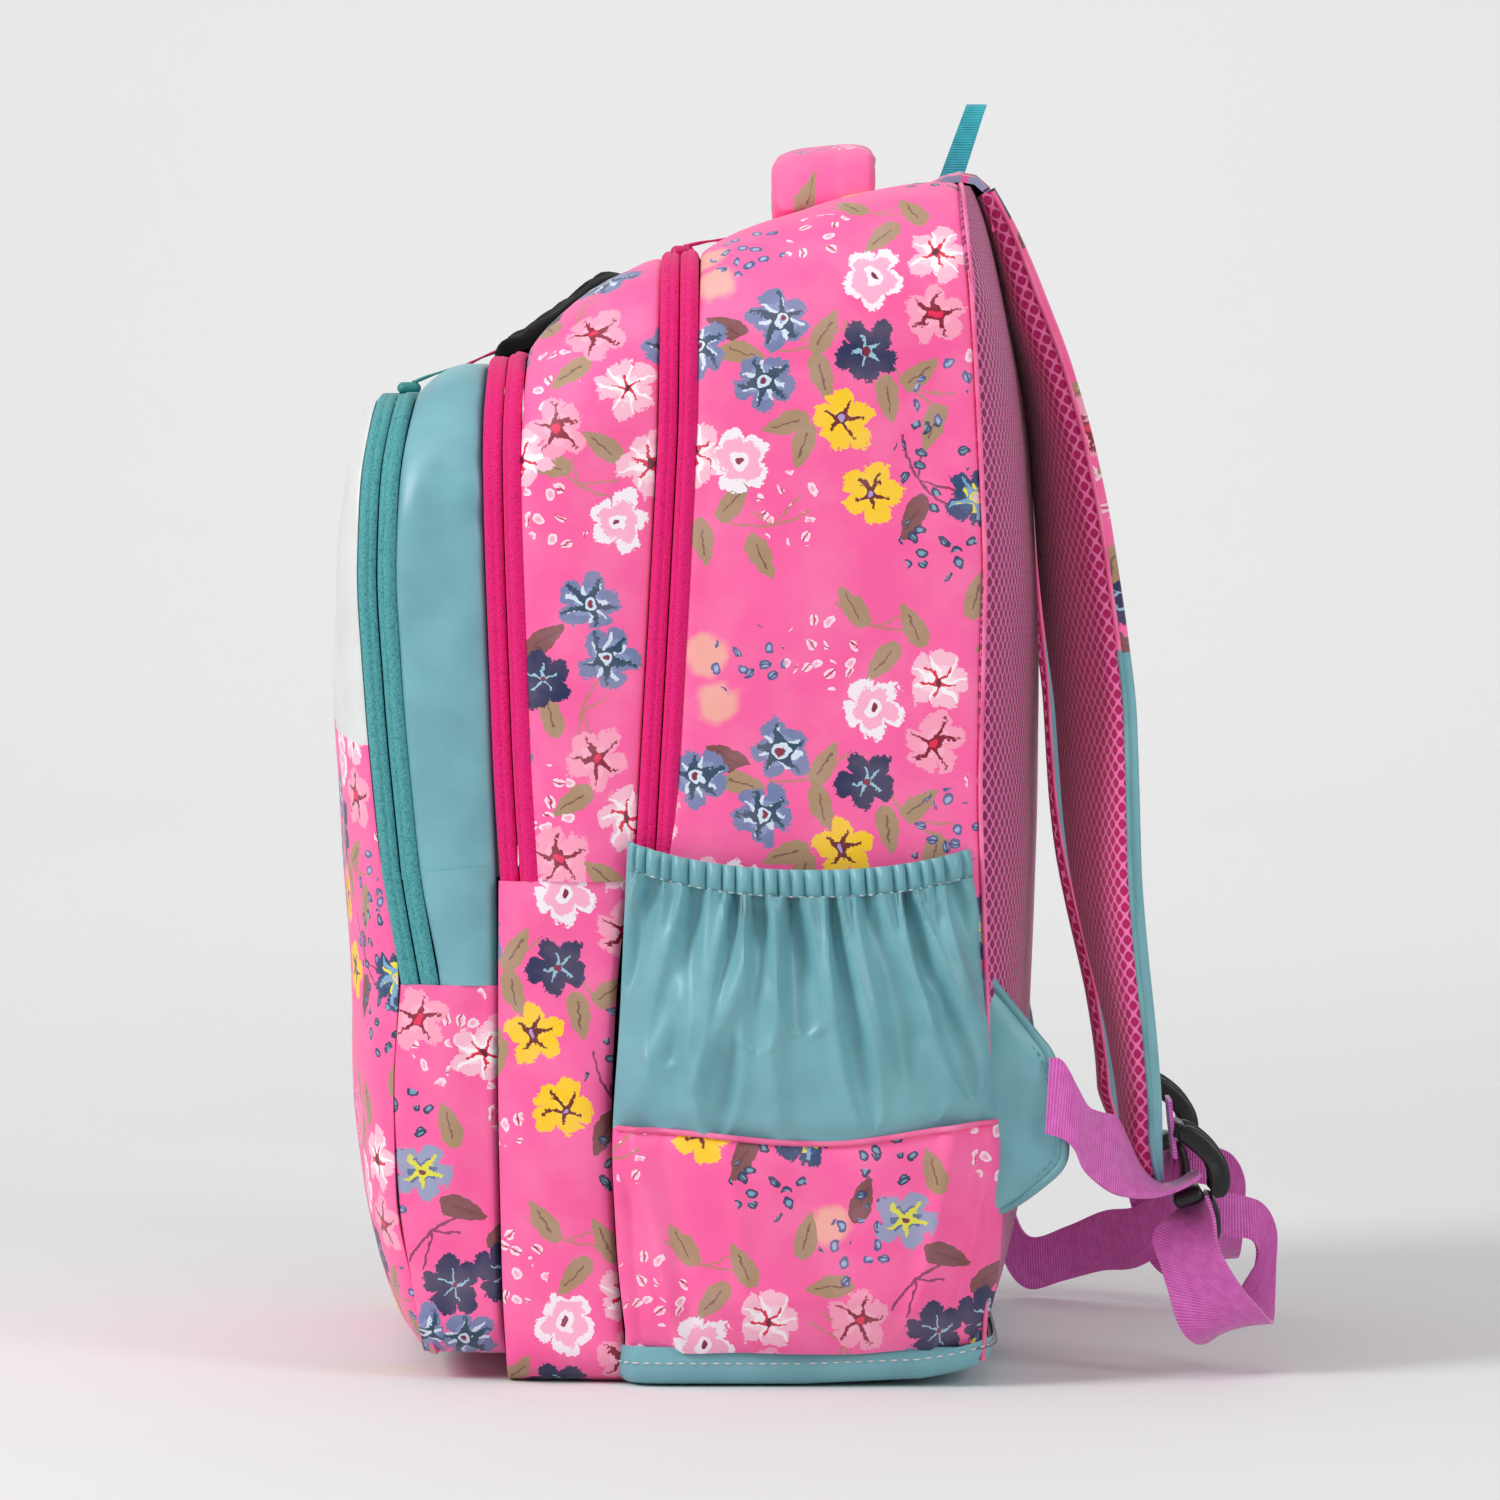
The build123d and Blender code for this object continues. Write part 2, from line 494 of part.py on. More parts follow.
# From each wing to the buckle: the band's upper and lower edges from the side, and its line from above
WEB_PLAN = [(151.2, 124.0), (150.0, 132.0), (138.0, 152.0), (116.0, 165.0), (109.0, 172.6)]
WEB_EDGES = {
    "right": (1, [(124.0, 119.0), (136.0, 112.0), (147.0, 90.0), (154.0, 71.0), (173.0, 70.5)],
              [(124.0, 94.0), (134.0, 88.0), (142.0, 66.0), (154.0, 52.0), (173.0, 54.0)]),
    "left": (-1, [(124.0, 90.0), (132.0, 38.0), (146.0, 40.0), (160.0, 56.0), (173.0, 71.0)],
             [(118.0, 66.0), (116.0, 1.0), (142.0, 8.0), (160.0, 34.0), (173.0, 52.0)]),
}
for word, (side, top_edge, low_edge) in WEB_EDGES.items():
    with BuildPart() as lower_webbing:
        with BuildSketch(Plane.YZ):
            with BuildLine():
                Polyline(*top_edge, *reversed(low_edge), close=True)
            make_face()
        extrude(amount=side * 170)
        with BuildSketch(Plane.XY):
            with BuildLine():
                Polyline(*[(side * x, y) for x, y in [(151.2, 100.0)] + WEB_PLAN],
                         *[(side * (x + 1.3), y + 1.1) for x, y in reversed(WEB_PLAN)],
                         (side * 152.5, 100.0), close=True)
            make_face()
        extrude(amount=200, mode=Mode.INTERSECT)
    save(lower_webbing, f"lower_webbing_{word}")

# The tail of each webbing stands on its edge as a tilted loop beside the buckle
LOOP_TILT = 36.0
LOOP_HALF_LENGTH, LOOP_HALF_WIDTH = 21.0, 19.0
LOOP_CENTRE = (112.0, 190.0, 12.9)
for side, word in ((1, "right"), (-1, "left")):
    loop_plane = Plane(origin=(side * LOOP_CENTRE[0], *LOOP_CENTRE[1:])).rotated((0, side * LOOP_TILT, 0))
    with BuildPart() as tail_loop:
        with BuildSketch(loop_plane):
            Ellipse(LOOP_HALF_LENGTH, LOOP_HALF_WIDTH)
            Ellipse(LOOP_HALF_LENGTH - WEBBING_THICK, LOOP_HALF_WIDTH - WEBBING_THICK, mode=Mode.SUBTRACT)
        extrude(amount=WEBBING)
    save(tail_loop, f"tail_loop_{word}")
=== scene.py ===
import math
import random

import bpy
import numpy as np
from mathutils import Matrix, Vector
from mathutils.kdtree import KDTree


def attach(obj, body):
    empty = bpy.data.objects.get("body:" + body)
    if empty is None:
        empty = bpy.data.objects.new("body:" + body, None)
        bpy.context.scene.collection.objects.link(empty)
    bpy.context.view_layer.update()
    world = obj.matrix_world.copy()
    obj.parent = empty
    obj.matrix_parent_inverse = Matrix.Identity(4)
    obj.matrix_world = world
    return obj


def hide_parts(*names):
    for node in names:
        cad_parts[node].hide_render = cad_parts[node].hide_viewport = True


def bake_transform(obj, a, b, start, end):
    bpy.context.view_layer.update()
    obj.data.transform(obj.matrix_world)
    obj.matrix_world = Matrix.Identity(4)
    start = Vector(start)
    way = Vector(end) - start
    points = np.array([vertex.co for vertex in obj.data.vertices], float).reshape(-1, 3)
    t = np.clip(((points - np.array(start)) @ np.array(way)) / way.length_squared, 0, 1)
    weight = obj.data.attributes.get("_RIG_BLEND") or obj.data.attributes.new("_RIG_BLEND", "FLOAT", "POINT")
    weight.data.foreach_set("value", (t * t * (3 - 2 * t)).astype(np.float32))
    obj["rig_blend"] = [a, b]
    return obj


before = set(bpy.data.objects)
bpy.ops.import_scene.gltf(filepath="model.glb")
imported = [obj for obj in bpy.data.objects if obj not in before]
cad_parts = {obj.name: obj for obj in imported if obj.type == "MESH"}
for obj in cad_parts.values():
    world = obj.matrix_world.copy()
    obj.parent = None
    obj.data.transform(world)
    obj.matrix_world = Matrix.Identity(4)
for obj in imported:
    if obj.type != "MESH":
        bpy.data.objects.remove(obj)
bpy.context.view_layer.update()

# A child's printed school backpack. Points are given in millimetres and made metres in mesh().
MM = 0.001
FOLD_Z = 183.0          # the compartments bend forward about this height
FACE_HINGE_Z = 240.0    # and the front pocket's face about this one
TILE = (215.0, 155.7)   # the print repeats at this size
CLOTH_THICK = 2.5       # fabric with its padding
TOP_CORNER = 52.0       # radius of the corners at the top of the compartments
ROLL_WIDTH = 3.5        # how near a seam the fabric turns down
SIDES = ((1, "right"), (-1, "left"))


# ---- shader helpers --------------------------------------------------------------------------
class Graph:
    """Adds shader nodes to one material and links their sockets."""

    def __init__(self, name):
        self.material = bpy.data.materials.new(name)
        self.material.use_nodes = True
        self.tree = self.material.node_tree
        self.tree.nodes.clear()
        self.bsdf = self.node("ShaderNodeBsdfPrincipled")
        out = self.node("ShaderNodeOutputMaterial")
        self.tree.links.new(self.bsdf.outputs[0], out.inputs[0])

    def node(self, kind):
        return self.tree.nodes.new(kind)

    def put(self, socket, value):
        if isinstance(value, bpy.types.NodeSocket):
            self.tree.links.new(value, socket)
        elif value is not None:
            socket.default_value = value

    def math(self, operation, *values):
        n = self.node("ShaderNodeMath")
        n.operation = operation
        for socket, value in zip(n.inputs, values):
            self.put(socket, value)
        return n.outputs[0]

    def mul(self, a, b):
        return self.math("MULTIPLY", a, b)

    def add(self, a, b):
        return self.math("ADD", a, b)

    def sub(self, a, b):
        return self.math("SUBTRACT", a, b)

    def size(self, a):
        return self.math("ABSOLUTE", a)

    def less(self, a, b):
        return self.math("LESS_THAN", a, b)

    def more(self, a, b):
        return self.math("GREATER_THAN", a, b)

    def vec(self, operation, *values, scale=None):
        n = self.node("ShaderNodeVectorMath")
        n.operation = operation
        for socket, value in zip(n.inputs, values):
            self.put(socket, value)
        if scale is not None:
            self.put(n.inputs["Scale"], scale)
        return n.outputs["Value"] if operation in ("LENGTH", "DOT_PRODUCT") else n.outputs["Vector"]

    def mix(self, share, a, b, kind="RGBA"):
        n = self.node("ShaderNodeMix")
        n.data_type = kind
        place = {"FLOAT": 2, "VECTOR": 4, "RGBA": 6}[kind]
        self.put(n.inputs[0], share)
        self.put(n.inputs[place], a)
        self.put(n.inputs[place + 1], b)
        return n.outputs[{"FLOAT": 0, "VECTOR": 1, "RGBA": 2}[kind]]

    def step(self, value, low, high, to_low=0.0, to_high=1.0):
        n = self.node("ShaderNodeMapRange")
        n.interpolation_type = "SMOOTHSTEP"
        for socket, v in zip(n.inputs, (value, low, high, to_low, to_high)):
            self.put(socket, v)
        return n.outputs[0]

    def ramp(self, value, stops):
        """One colour for each stop, with nothing between them."""
        n = self.node("ShaderNodeValToRGB")
        n.color_ramp.interpolation = "CONSTANT"
        elements = n.color_ramp.elements
        while len(elements) < len(stops):
            elements.new(1.0)
        for element, (place, colour) in zip(elements, stops):
            element.position = place
            element.color = colour
        self.put(n.inputs[0], value)
        return n.outputs[0]

    def split(self, vector):
        n = self.node("ShaderNodeSeparateXYZ")
        self.put(n.inputs[0], vector)
        return n.outputs

    def join(self, x, y):
        n = self.node("ShaderNodeCombineXYZ")
        for socket, value in zip(n.inputs, (x, y)):
            self.put(socket, value)
        return n.outputs[0]

    def turn(self, vector, angle):
        n = self.node("ShaderNodeVectorRotate")
        n.rotation_type = "Z_AXIS"
        self.put(n.inputs["Vector"], vector)
        self.put(n.inputs["Angle"], angle)
        return n.outputs[0]

    def noise(self, vector, scale, detail=2.0, rough=0.5, colour=False):
        n = self.node("ShaderNodeTexNoise")
        self.put(n.inputs["Vector"], vector)
        for word, value in (("Scale", scale), ("Detail", detail), ("Roughness", rough)):
            n.inputs[word].default_value = value
        return n.outputs["Color" if colour else "Fac"]

    def voronoi(self, vector, scale, randomness=1.0):
        n = self.node("ShaderNodeTexVoronoi")
        self.put(n.inputs["Vector"], vector)
        n.inputs["Scale"].default_value = scale
        n.inputs["Randomness"].default_value = randomness
        return n.outputs

    def cloth(self):
        """Where a point is on its flat cloth, in millimetres."""
        n = self.node("ShaderNodeAttribute")
        n.attribute_name = "cloth"
        return self.vec("SCALE", n.outputs["Vector"], scale=1000.0)

    def place(self):
        """Where a point is on its object, in millimetres."""
        return self.vec("SCALE", self.node("ShaderNodeTexCoord").outputs["Object"], scale=1000.0)

    def bump(self, height, strength, distance):
        n = self.node("ShaderNodeBump")
        n.inputs["Strength"].default_value = strength
        n.inputs["Distance"].default_value = distance
        self.put(n.inputs["Height"], height)
        self.put(self.bsdf.inputs["Normal"], n.outputs[0])

    def done(self, colour, rough, **values):
        self.put(self.bsdf.inputs["Base Color"], colour)
        self.put(self.bsdf.inputs["Roughness"], rough)
        for word, value in values.items():
            self.bsdf.inputs[word.replace("_", " ")].default_value = value
        return self.material


def linear(value):
    value /= 255.0
    return value / 12.92 if value <= 0.04045 else ((value + 0.055) / 1.055) ** 2.4


def rgb(r, g, b):
    """A colour from its sRGB numbers, 0 to 255."""
    return (linear(r), linear(g), linear(b), 1.0)


def weave(g, cloth, pitch):
    """Height of a twill weave with the given pitch in millimetres."""
    x, y, _ = g.split(cloth)
    diagonal = g.math("SINE", g.mul(g.add(x, y), 2 * math.pi / pitch))
    across = g.math("SINE", g.mul(y, 2 * math.pi / (pitch * 0.55)))
    return g.math("MULTIPLY_ADD", diagonal, 0.5, g.mul(across, 0.3))


# ---- the floral print ------------------------------------------------------------------------
# Each motif: its place on the repeat in mm, its kind, and the way it is turned, as a share of a full turn
FLOWERS = [
    (18, 336, 0, 0.10), (67, 246, 0, 0.35), (198, 314, 0, 0.62), (90, 256, 1, 0.20), (2, 338, 1, 0.55),
    (162, 336, 1, 0.80), (209, 334, 1, 0.30), (201, 206, 1, 0.70), (89, 233, 2, 0.05), (123, 256, 2, 0.45),
    (138, 193, 2, 0.65), (190, 228, 2, 0.15), (176, 191, 2, 0.50), (33, 231, 3, 0.30), (27, 208, 3, 0.75),
    (3, 221, 3, 0.12), (140, 233, 3, 0.40), (156, 231, 3, 0.90), (187, 284, 3, 0.22), (194, 264, 3, 0.58),
    (64, 220, 4, 0.33), (151, 251, 4, 0.08), (170, 257, 4, 0.48), (56, 195, 5, 0.27), (66, 324, 5, 0.60),
    (104, 322, 6, 0.18), (140, 292, 7, 0.38),
]
# Leaves point along their turn; kind 0 is tan and 1 is maroon
LEAVES = [
    (35, 349, 0, 0.55), (41, 341, 0, 0.71), (16, 321, 0, 0.15), (26, 301, 0, 0.83), (5, 306, 0, 0.78),
    (81, 315, 1, 0.68), (104, 287, 0, 0.22), (59, 283, 0, 0.35), (81, 276, 0, 0.33), (70, 263, 0, 0.64),
    (14, 228, 1, 0.42), (19, 219, 0, 0.97), (49, 226, 0, 0.17), (48, 210, 0, 0.80), (83, 211, 0, 0.11),
    (72, 202, 0, 0.78), (88, 192, 0, 0.70), (172, 334, 0, 0.47), (192, 341, 0, 0.40), (173, 244, 0, 0.30),
    (171, 271, 1, 0.10), (181, 212, 0, 0.60), (124, 300, 1, 0.20), (155, 279, 1, 0.95), (150, 310, 0, 0.30),
    (126, 232, 0, 0.70), (112, 268, 0, 0.52), (118, 338, 0, 0.90),
]
# Sprays of small buds; kind 0 is pale, 1 navy and 2 slate
SPRAYS = [
    (38, 318, 0, 0.5), (47, 266, 0, 0.5), (88, 337, 1, 0.5), (90, 306, 1, 0.5), (22, 263, 2, 0.5),
    (95, 203, 2, 0.5), (176, 318, 0, 0.5), (171, 212, 0, 0.5), (122, 281, 2, 0.5), (133, 309, 1, 0.5),
    (150, 338, 0, 0.5), (112, 214, 0, 0.5),
]
# Stems; kind 0 is tan and 1 is purple
STEMS = [
    (29, 312, 0, 0.02), (66, 276, 0, 0.95), (82, 330, 1, 0.84), (44, 221, 0, 0.05), (80, 206, 0, 0.88),
    (182, 328, 0, 0.90), (118, 246, 0, 0.30), (145, 272, 1, 0.60), (185, 246, 0, 0.70),
]
PEACH = [(6, 266, 0, 0.5), (10, 248, 0, 0.5), (112, 290, 0, 0.5)]
WOBBLE = 1.3            # how far the painted outlines wander, in mm
SWAY = 3.6              # how far whole petals lean, in mm
# sizes of the motifs, in mm
FLOWER_R = 11.6
PETALS = 5.0
LEAF_R, LEAF_HALF = 9.0, 3.9
STEM_R = 16.0
SPRAY_R = 14.0
BUD_PITCH = 8.0


def nearest(g, cloth, motifs):
    """The motif nearest to a point of the cloth: how far, where the point is in that motif's own
    turned frame, and the motif's kind. The third coordinate carries the kind and the turn."""
    far, spot = None, None
    for u, v, kind, turned in motifs:
        rel = g.vec("SUBTRACT", cloth, (u, v, -(kind + turned) / 100.0))
        rel = g.vec("WRAP", rel, (TILE[0] / 2, TILE[1] / 2, 1.0), (-TILE[0] / 2, -TILE[1] / 2, -1.0))
        length = g.vec("LENGTH", rel)
        if far is None:
            far, spot = length, rel
            continue
        closer = g.less(length, far)
        spot = g.mix(closer, spot, rel, "VECTOR")
        far = g.math("MINIMUM", far, length)
    code = g.mul(g.split(spot)[2], 100.0)
    turned = g.mul(g.math("FRACT", code), -2 * math.pi)
    return far, g.turn(spot, turned), g.math("FLOOR", code)


def by_kind(g, kind, colours):
    """One colour, or three numbers as a colour, for each kind of motif."""
    place = g.math("DIVIDE", g.add(kind, 0.5), float(len(colours)))
    return g.ramp(place, [(i / len(colours), c) for i, c in enumerate(colours)])


def stroke_mask(g, reach, angle, count, width, start, end):
    """Painted strokes along count directions of a flower, from start to end of its radius."""
    side = g.size(g.math("SINE", g.mul(angle, count / 2.0)))
    off = g.mul(g.mul(side, reach), 2.0 / count)
    thin = g.mul(width, g.sub(1.15, reach))
    inside = g.less(off, thin)
    return g.mul(inside, g.mul(g.more(reach, start),
                                             g.less(reach, end)))


def print_colour(g, cloth):
    flat = g.vec("MULTIPLY", cloth, (1.0, 1.0, 0.0))
    wobble = g.vec("SUBTRACT", g.noise(flat, 0.33, 2.0, colour=True), (0.5, 0.5, 0.5))
    wobble = g.vec("MULTIPLY", wobble, (2 * WOBBLE, 2 * WOBBLE, 0.0))
    sway = g.vec("SUBTRACT", g.noise(flat, 0.11, 1.0, colour=True), (0.5, 0.5, 0.5))
    sway = g.vec("MULTIPLY", sway, (2 * SWAY, 2 * SWAY, 0.0))
    calm = g.vec("ADD", flat, wobble)
    spot = g.vec("ADD", calm, sway)
    fine = g.noise(flat, 0.9, 3.0)

    base = g.mix(g.noise(flat, 0.02, 2.0), rgb(252, 84, 156), rgb(255, 108, 172))
    far, _, _ = nearest(g, spot, PEACH)
    colour = g.mix(g.step(far, 9.5, 5.0, 0.0, 0.75), base, rgb(246, 190, 160))

    # stems: one bowed line with two side shoots
    far, local, kind = nearest(g, calm, STEMS)
    x, y, _ = g.split(local)
    bow = g.mul(g.mul(x, x), 0.017)
    main = g.less(g.size(g.sub(y, bow)), 0.5)
    fork = g.mul(g.size(g.sub(x, 1.5)), 0.85)
    shoot = g.size(g.sub(y, fork))
    shoot = g.mul(g.less(shoot, 0.55), g.more(x, -6.0))
    line = g.mul(g.math("MAXIMUM", main, shoot), g.less(far, STEM_R))
    colour = g.mix(line, colour, by_kind(g, kind, [rgb(196, 128, 118), rgb(140, 52, 88)]))

    # leaves: pointed at the tip, with a vein
    far, local, kind = nearest(g, calm, LEAVES)
    x, y, _ = g.split(local)
    along = g.math("DIVIDE", x, LEAF_R)
    tip = g.math("POWER", g.math("MAXIMUM", g.sub(1.0, along), 0.0), 0.85)
    heel = g.math("POWER", g.math("MAXIMUM", g.add(along, 1.0), 0.0), 0.5)
    half = g.mul(g.mul(tip, heel), LEAF_HALF)
    leaf = g.less(g.size(y), half)
    leaf = g.mul(leaf, g.less(g.size(along), 1.0))
    green = by_kind(g, kind, [rgb(178, 146, 112), rgb(124, 62, 70)])
    green = g.mix(g.mul(fine, 0.35), green, rgb(140, 108, 84))
    vein = g.less(g.size(g.add(y, g.mul(along, 0.8))), 0.32)
    vein = g.mul(vein, g.less(g.size(along), 0.55))
    green = g.mix(g.mul(vein, 0.7), green, rgb(92, 50, 50))
    colour = g.mix(leaf, colour, green)

    # buds: small blobs scattered inside the sprays
    far, _, kind = nearest(g, calm, SPRAYS)
    cells = g.voronoi(g.vec("SCALE", calm, scale=1.0 / BUD_PITCH), 1.0, 0.85)
    chance = g.split(cells["Color"])
    inner = g.vec("SUBTRACT", g.vec("SCALE", calm, scale=1.0 / BUD_PITCH), cells["Position"])
    inner = g.turn(inner, g.mul(chance[0], 6.3))
    size = g.vec("LENGTH", g.vec("MULTIPLY", inner, (1.0, 1.45, 0.0)))
    bud = g.mul(g.less(size, 0.29), g.less(far, SPRAY_R))
    bud = g.mul(bud, g.more(chance[1], 0.22))
    rim = by_kind(g, kind, [rgb(253, 224, 236), rgb(42, 52, 96), rgb(84, 96, 146)])
    heart = by_kind(g, kind, [rgb(250, 170, 196), rgb(120, 165, 190), rgb(166, 180, 218)])
    mark = by_kind(g, kind, [rgb(190, 24, 80), rgb(36, 66, 90), rgb(52, 66, 116)])
    petal = g.mix(g.step(size, 0.2, 0.1), rim, heart)
    notch = g.less(g.size(g.add(g.split(inner)[1], 0.02)), 0.035)
    notch = g.mul(notch, g.more(chance[2], 0.5))
    colour = g.mix(bud, colour, g.mix(notch, petal, mark))

    # flowers: five notched petals, painted strokes and a heart
    far, local, kind = nearest(g, spot, FLOWERS)
    p = g.vec("SCALE", g.vec("MULTIPLY", local, (1.0, 1.0, 0.0)), scale=1.0 / FLOWER_R)
    x, y, _ = g.split(p)
    reach = g.vec("LENGTH", p)
    angle = g.math("ARCTAN2", y, x)
    lobes = g.size(g.math("COSINE", g.mul(angle, PETALS / 2)))
    edge = g.math("MULTIPLY_ADD", g.math("POWER", lobes, 0.5), 0.42, 0.56)
    edge = g.add(edge, g.mul(g.sub(fine, 0.5), 0.34))
    shape = g.step(reach, g.add(edge, 0.02), g.sub(edge, 0.02))
    petal = by_kind(g, kind, [rgb(250, 240, 248), rgb(253, 190, 212), rgb(253, 160, 190), rgb(116, 128, 172),
                              rgb(32, 42, 84), rgb(255, 206, 28), rgb(44, 70, 112), rgb(150, 156, 190)])
    inside = by_kind(g, kind, [rgb(255, 176, 208), rgb(255, 214, 228), rgb(255, 178, 202), rgb(136, 150, 194),
                               rgb(34, 44, 88), rgb(255, 200, 20), rgb(60, 96, 140), rgb(170, 180, 190)])
    paint = by_kind(g, kind, [rgb(255, 200, 222), rgb(226, 34, 74), rgb(140, 16, 48), rgb(38, 74, 98),
                              rgb(150, 195, 214), rgb(112, 34, 30), rgb(126, 170, 205), rgb(226, 222, 60)])
    light = by_kind(g, kind, [rgb(250, 240, 248), rgb(255, 246, 250), rgb(253, 170, 196), rgb(214, 228, 244),
                              rgb(32, 42, 84), rgb(255, 214, 60), rgb(240, 226, 60), rgb(90, 110, 150)])
    heart = by_kind(g, kind, [rgb(130, 22, 56), rgb(96, 18, 42), rgb(236, 34, 84), rgb(132, 28, 50),
                              rgb(128, 22, 56), rgb(176, 150, 220), rgb(232, 200, 224), rgb(120, 50, 30)])
    # how wide the strokes are, where they start, where they end
    strokes = g.split(by_kind(g, kind, [(0.0, 0.1, 0.2, 1), (0.06, 0.1, 0.55, 1), (0.085, 0.1, 0.82, 1),
                                        (0.14, 0.22, 0.84, 1), (0.045, 0.1, 0.5, 1), (0.075, 0.08, 0.62, 1),
                                        (0.12, 0.2, 0.8, 1), (0.1, 0.12, 0.7, 1)]))
    # how far the inner colour reaches, how big the heart is, how far the highlights reach
    zones = g.split(by_kind(g, kind, [(0.62, 0.15, 0.3, 1), (0.5, 0.16, 0.9, 1), (0.4, 0.17, 0.3, 1),
                                      (0.5, 0.13, 0.7, 1), (0.3, 0.13, 0.1, 1), (0.3, 0.11, 0.3, 1),
                                      (0.5, 0.16, 0.55, 1), (0.3, 0.14, 0.5, 1)]))
    ragged = g.add(reach, g.mul(g.sub(lobes, 0.5), -0.16))
    ragged = g.add(ragged, g.mul(g.sub(fine, 0.5), 0.3))
    flower = g.mix(g.less(ragged, zones[0]), petal, inside)
    shine = stroke_mask(g, reach, g.add(angle, 0.35), 7.0, 0.1, 0.12, zones[2])
    flower = g.mix(shine, flower, light)
    swept = g.add(angle, g.mul(fine, 0.5))
    drawn = stroke_mask(g, reach, swept, PETALS, strokes[0], strokes[1], strokes[2])
    flower = g.mix(drawn, flower, paint)
    middle = g.vec("LENGTH", g.vec("MULTIPLY", p, (1.0, 1.5, 0.0)))
    flower = g.mix(g.less(middle, zones[1]), flower, heart)
    return g.mix(shape, colour, flower)


def printed_fabric(name):
    g = Graph(name)
    cloth = g.cloth()
    worn = g.noise(cloth, 0.05, 3.0)
    colour = g.mix(g.step(worn, 0.35, 0.75, 0.0, 0.10), print_colour(g, cloth), rgb(255, 215, 232))
    height = g.add(g.mul(weave(g, cloth, 0.9), 0.6), g.noise(cloth, 1.6, 2.0))
    g.bump(height, 0.16, 0.0003)
    return g.done(colour, g.step(worn, 0.2, 0.8, 0.46, 0.58), Sheen_Weight=0.12, Sheen_Roughness=0.4,
                  Specular_IOR_Level=0.4)


def satin(name, deep, pale, rough=0.36):
    """Smooth woven polyester with a soft shine."""
    g = Graph(name)
    cloth = g.cloth()
    cloudy = g.noise(cloth, 0.045, 3.0)
    thread = g.noise(g.vec("MULTIPLY", cloth, (3.0, 0.6, 1.0)), 1.0, 2.0)
    colour = g.mix(g.step(cloudy, 0.3, 0.7), deep, pale)
    # painted sheen: the raised threads are streaked towards a pale near-white
    colour = g.mix(g.mul(thread, 0.06), colour, rgb(236, 246, 248))
    height = g.add(g.mul(weave(g, cloth, 0.7), 0.5), thread)
    g.bump(height, 0.12, 0.0003)
    return g.done(colour, g.step(cloudy, 0.3, 0.7, rough, rough + 0.08), Specular_IOR_Level=0.6,
                  Sheen_Weight=0.12, Anisotropic=0.3)


def air_mesh(name, thread, hole_shade, pitch=4.2):
    """Knitted spacer mesh: rows of diamond holes between raised threads. The holes are filled with painted
    shade, and the threads carry painted highlight streaks.
    """
    g = Graph(name)
    cloth = g.vec("MULTIPLY", g.cloth(), (1.0 / pitch, 0.72 / pitch, 0.0))
    x, y, _ = g.split(cloth)
    skew = g.join(g.add(x, y), g.sub(x, y))
    cell = g.vec("SUBTRACT", g.vec("FRACTION", skew), (0.5, 0.5, 0.0))
    a, b, _ = g.split(cell)
    away = g.math("MAXIMUM", g.size(a), g.size(b))
    away = g.math("MULTIPLY_ADD", away, 0.45, g.mul(g.vec("LENGTH", cell), 0.55))
    opening = g.step(away, 0.43, 0.35)
    fuzz = g.noise(cloth, 3.0, 3.0)
    fibre = g.noise(g.vec("MULTIPLY", cloth, (9.0, 1.5, 1.0)), 1.0, 2.0)
    # painted highlight: a lighter copy of the thread colour along the raised fibres; painted shade: the hole
    # colour and a darker copy of it fill the openings
    lit = tuple(min(1.0, c * 1.5) for c in thread[:3]) + (1.0,)
    shaded = tuple(c * 0.6 for c in hole_shade[:3]) + (1.0,)
    tone = g.mix(g.mul(fibre, 0.5), thread, lit)
    colour = g.mix(opening, tone, g.mix(fuzz, hole_shade, shaded))
    height = g.add(g.sub(1.0, opening), g.mul(fibre, 0.3))
    g.bump(height, 0.8, 0.0011)
    return g.done(colour, g.mix(opening, 0.62, 0.85, "FLOAT"), Sheen_Weight=0.3, Sheen_Roughness=0.5,
                  Specular_IOR_Level=0.3)


def zip_tape(name, deep, pale):
    """Textured knitted zip tape, with painted shade in the hollows between its knit loops."""
    g = Graph(name)
    cloth = g.cloth()
    knit_hollow = g.voronoi(g.vec("MULTIPLY", cloth, (1.0, 0.75, 1.0)), 1.5)["Distance"]
    loop = g.noise(cloth, 1.1, 3.0, 0.6)
    # painted shade: the colour deepens where the bump sinks at the edges of the knit cells, over the loops'
    # own tone
    colour = g.mix(g.math("MULTIPLY_ADD", knit_hollow, 0.8, g.mul(loop, 0.35)), pale, deep)
    g.bump(g.sub(g.mul(loop, 0.6), knit_hollow), 0.55, 0.0006)
    return g.done(colour, g.step(loop, 0.2, 0.8, 0.6, 0.75), Sheen_Weight=0.12, Specular_IOR_Level=0.3)


def webbing(name, deep, pale, pitch=1.15):
    """Ribbed woven webbing with cross ribs."""
    g = Graph(name)
    cloth = g.cloth()
    x, y, _ = g.split(cloth)
    rib = g.math("SINE", g.mul(x, 2 * math.pi / pitch))
    warp = g.math("SINE", g.mul(y, 2 * math.pi / 1.1))
    worn = g.noise(cloth, 0.25, 3.0)
    height = g.math("MULTIPLY_ADD", rib, 0.5, g.mul(warp, 0.25))
    # painted shading: the ribs are paler on their crests and darker in the grooves, with a worn mottle over
    # it
    colour = g.mix(g.step(g.math("MULTIPLY_ADD", rib, 0.35, worn), 0.0, 1.0), deep, pale)
    g.bump(height, 0.45, 0.0005)
    return g.done(colour, g.step(worn, 0.2, 0.8, 0.42, 0.55), Sheen_Weight=0.35, Specular_IOR_Level=0.5)


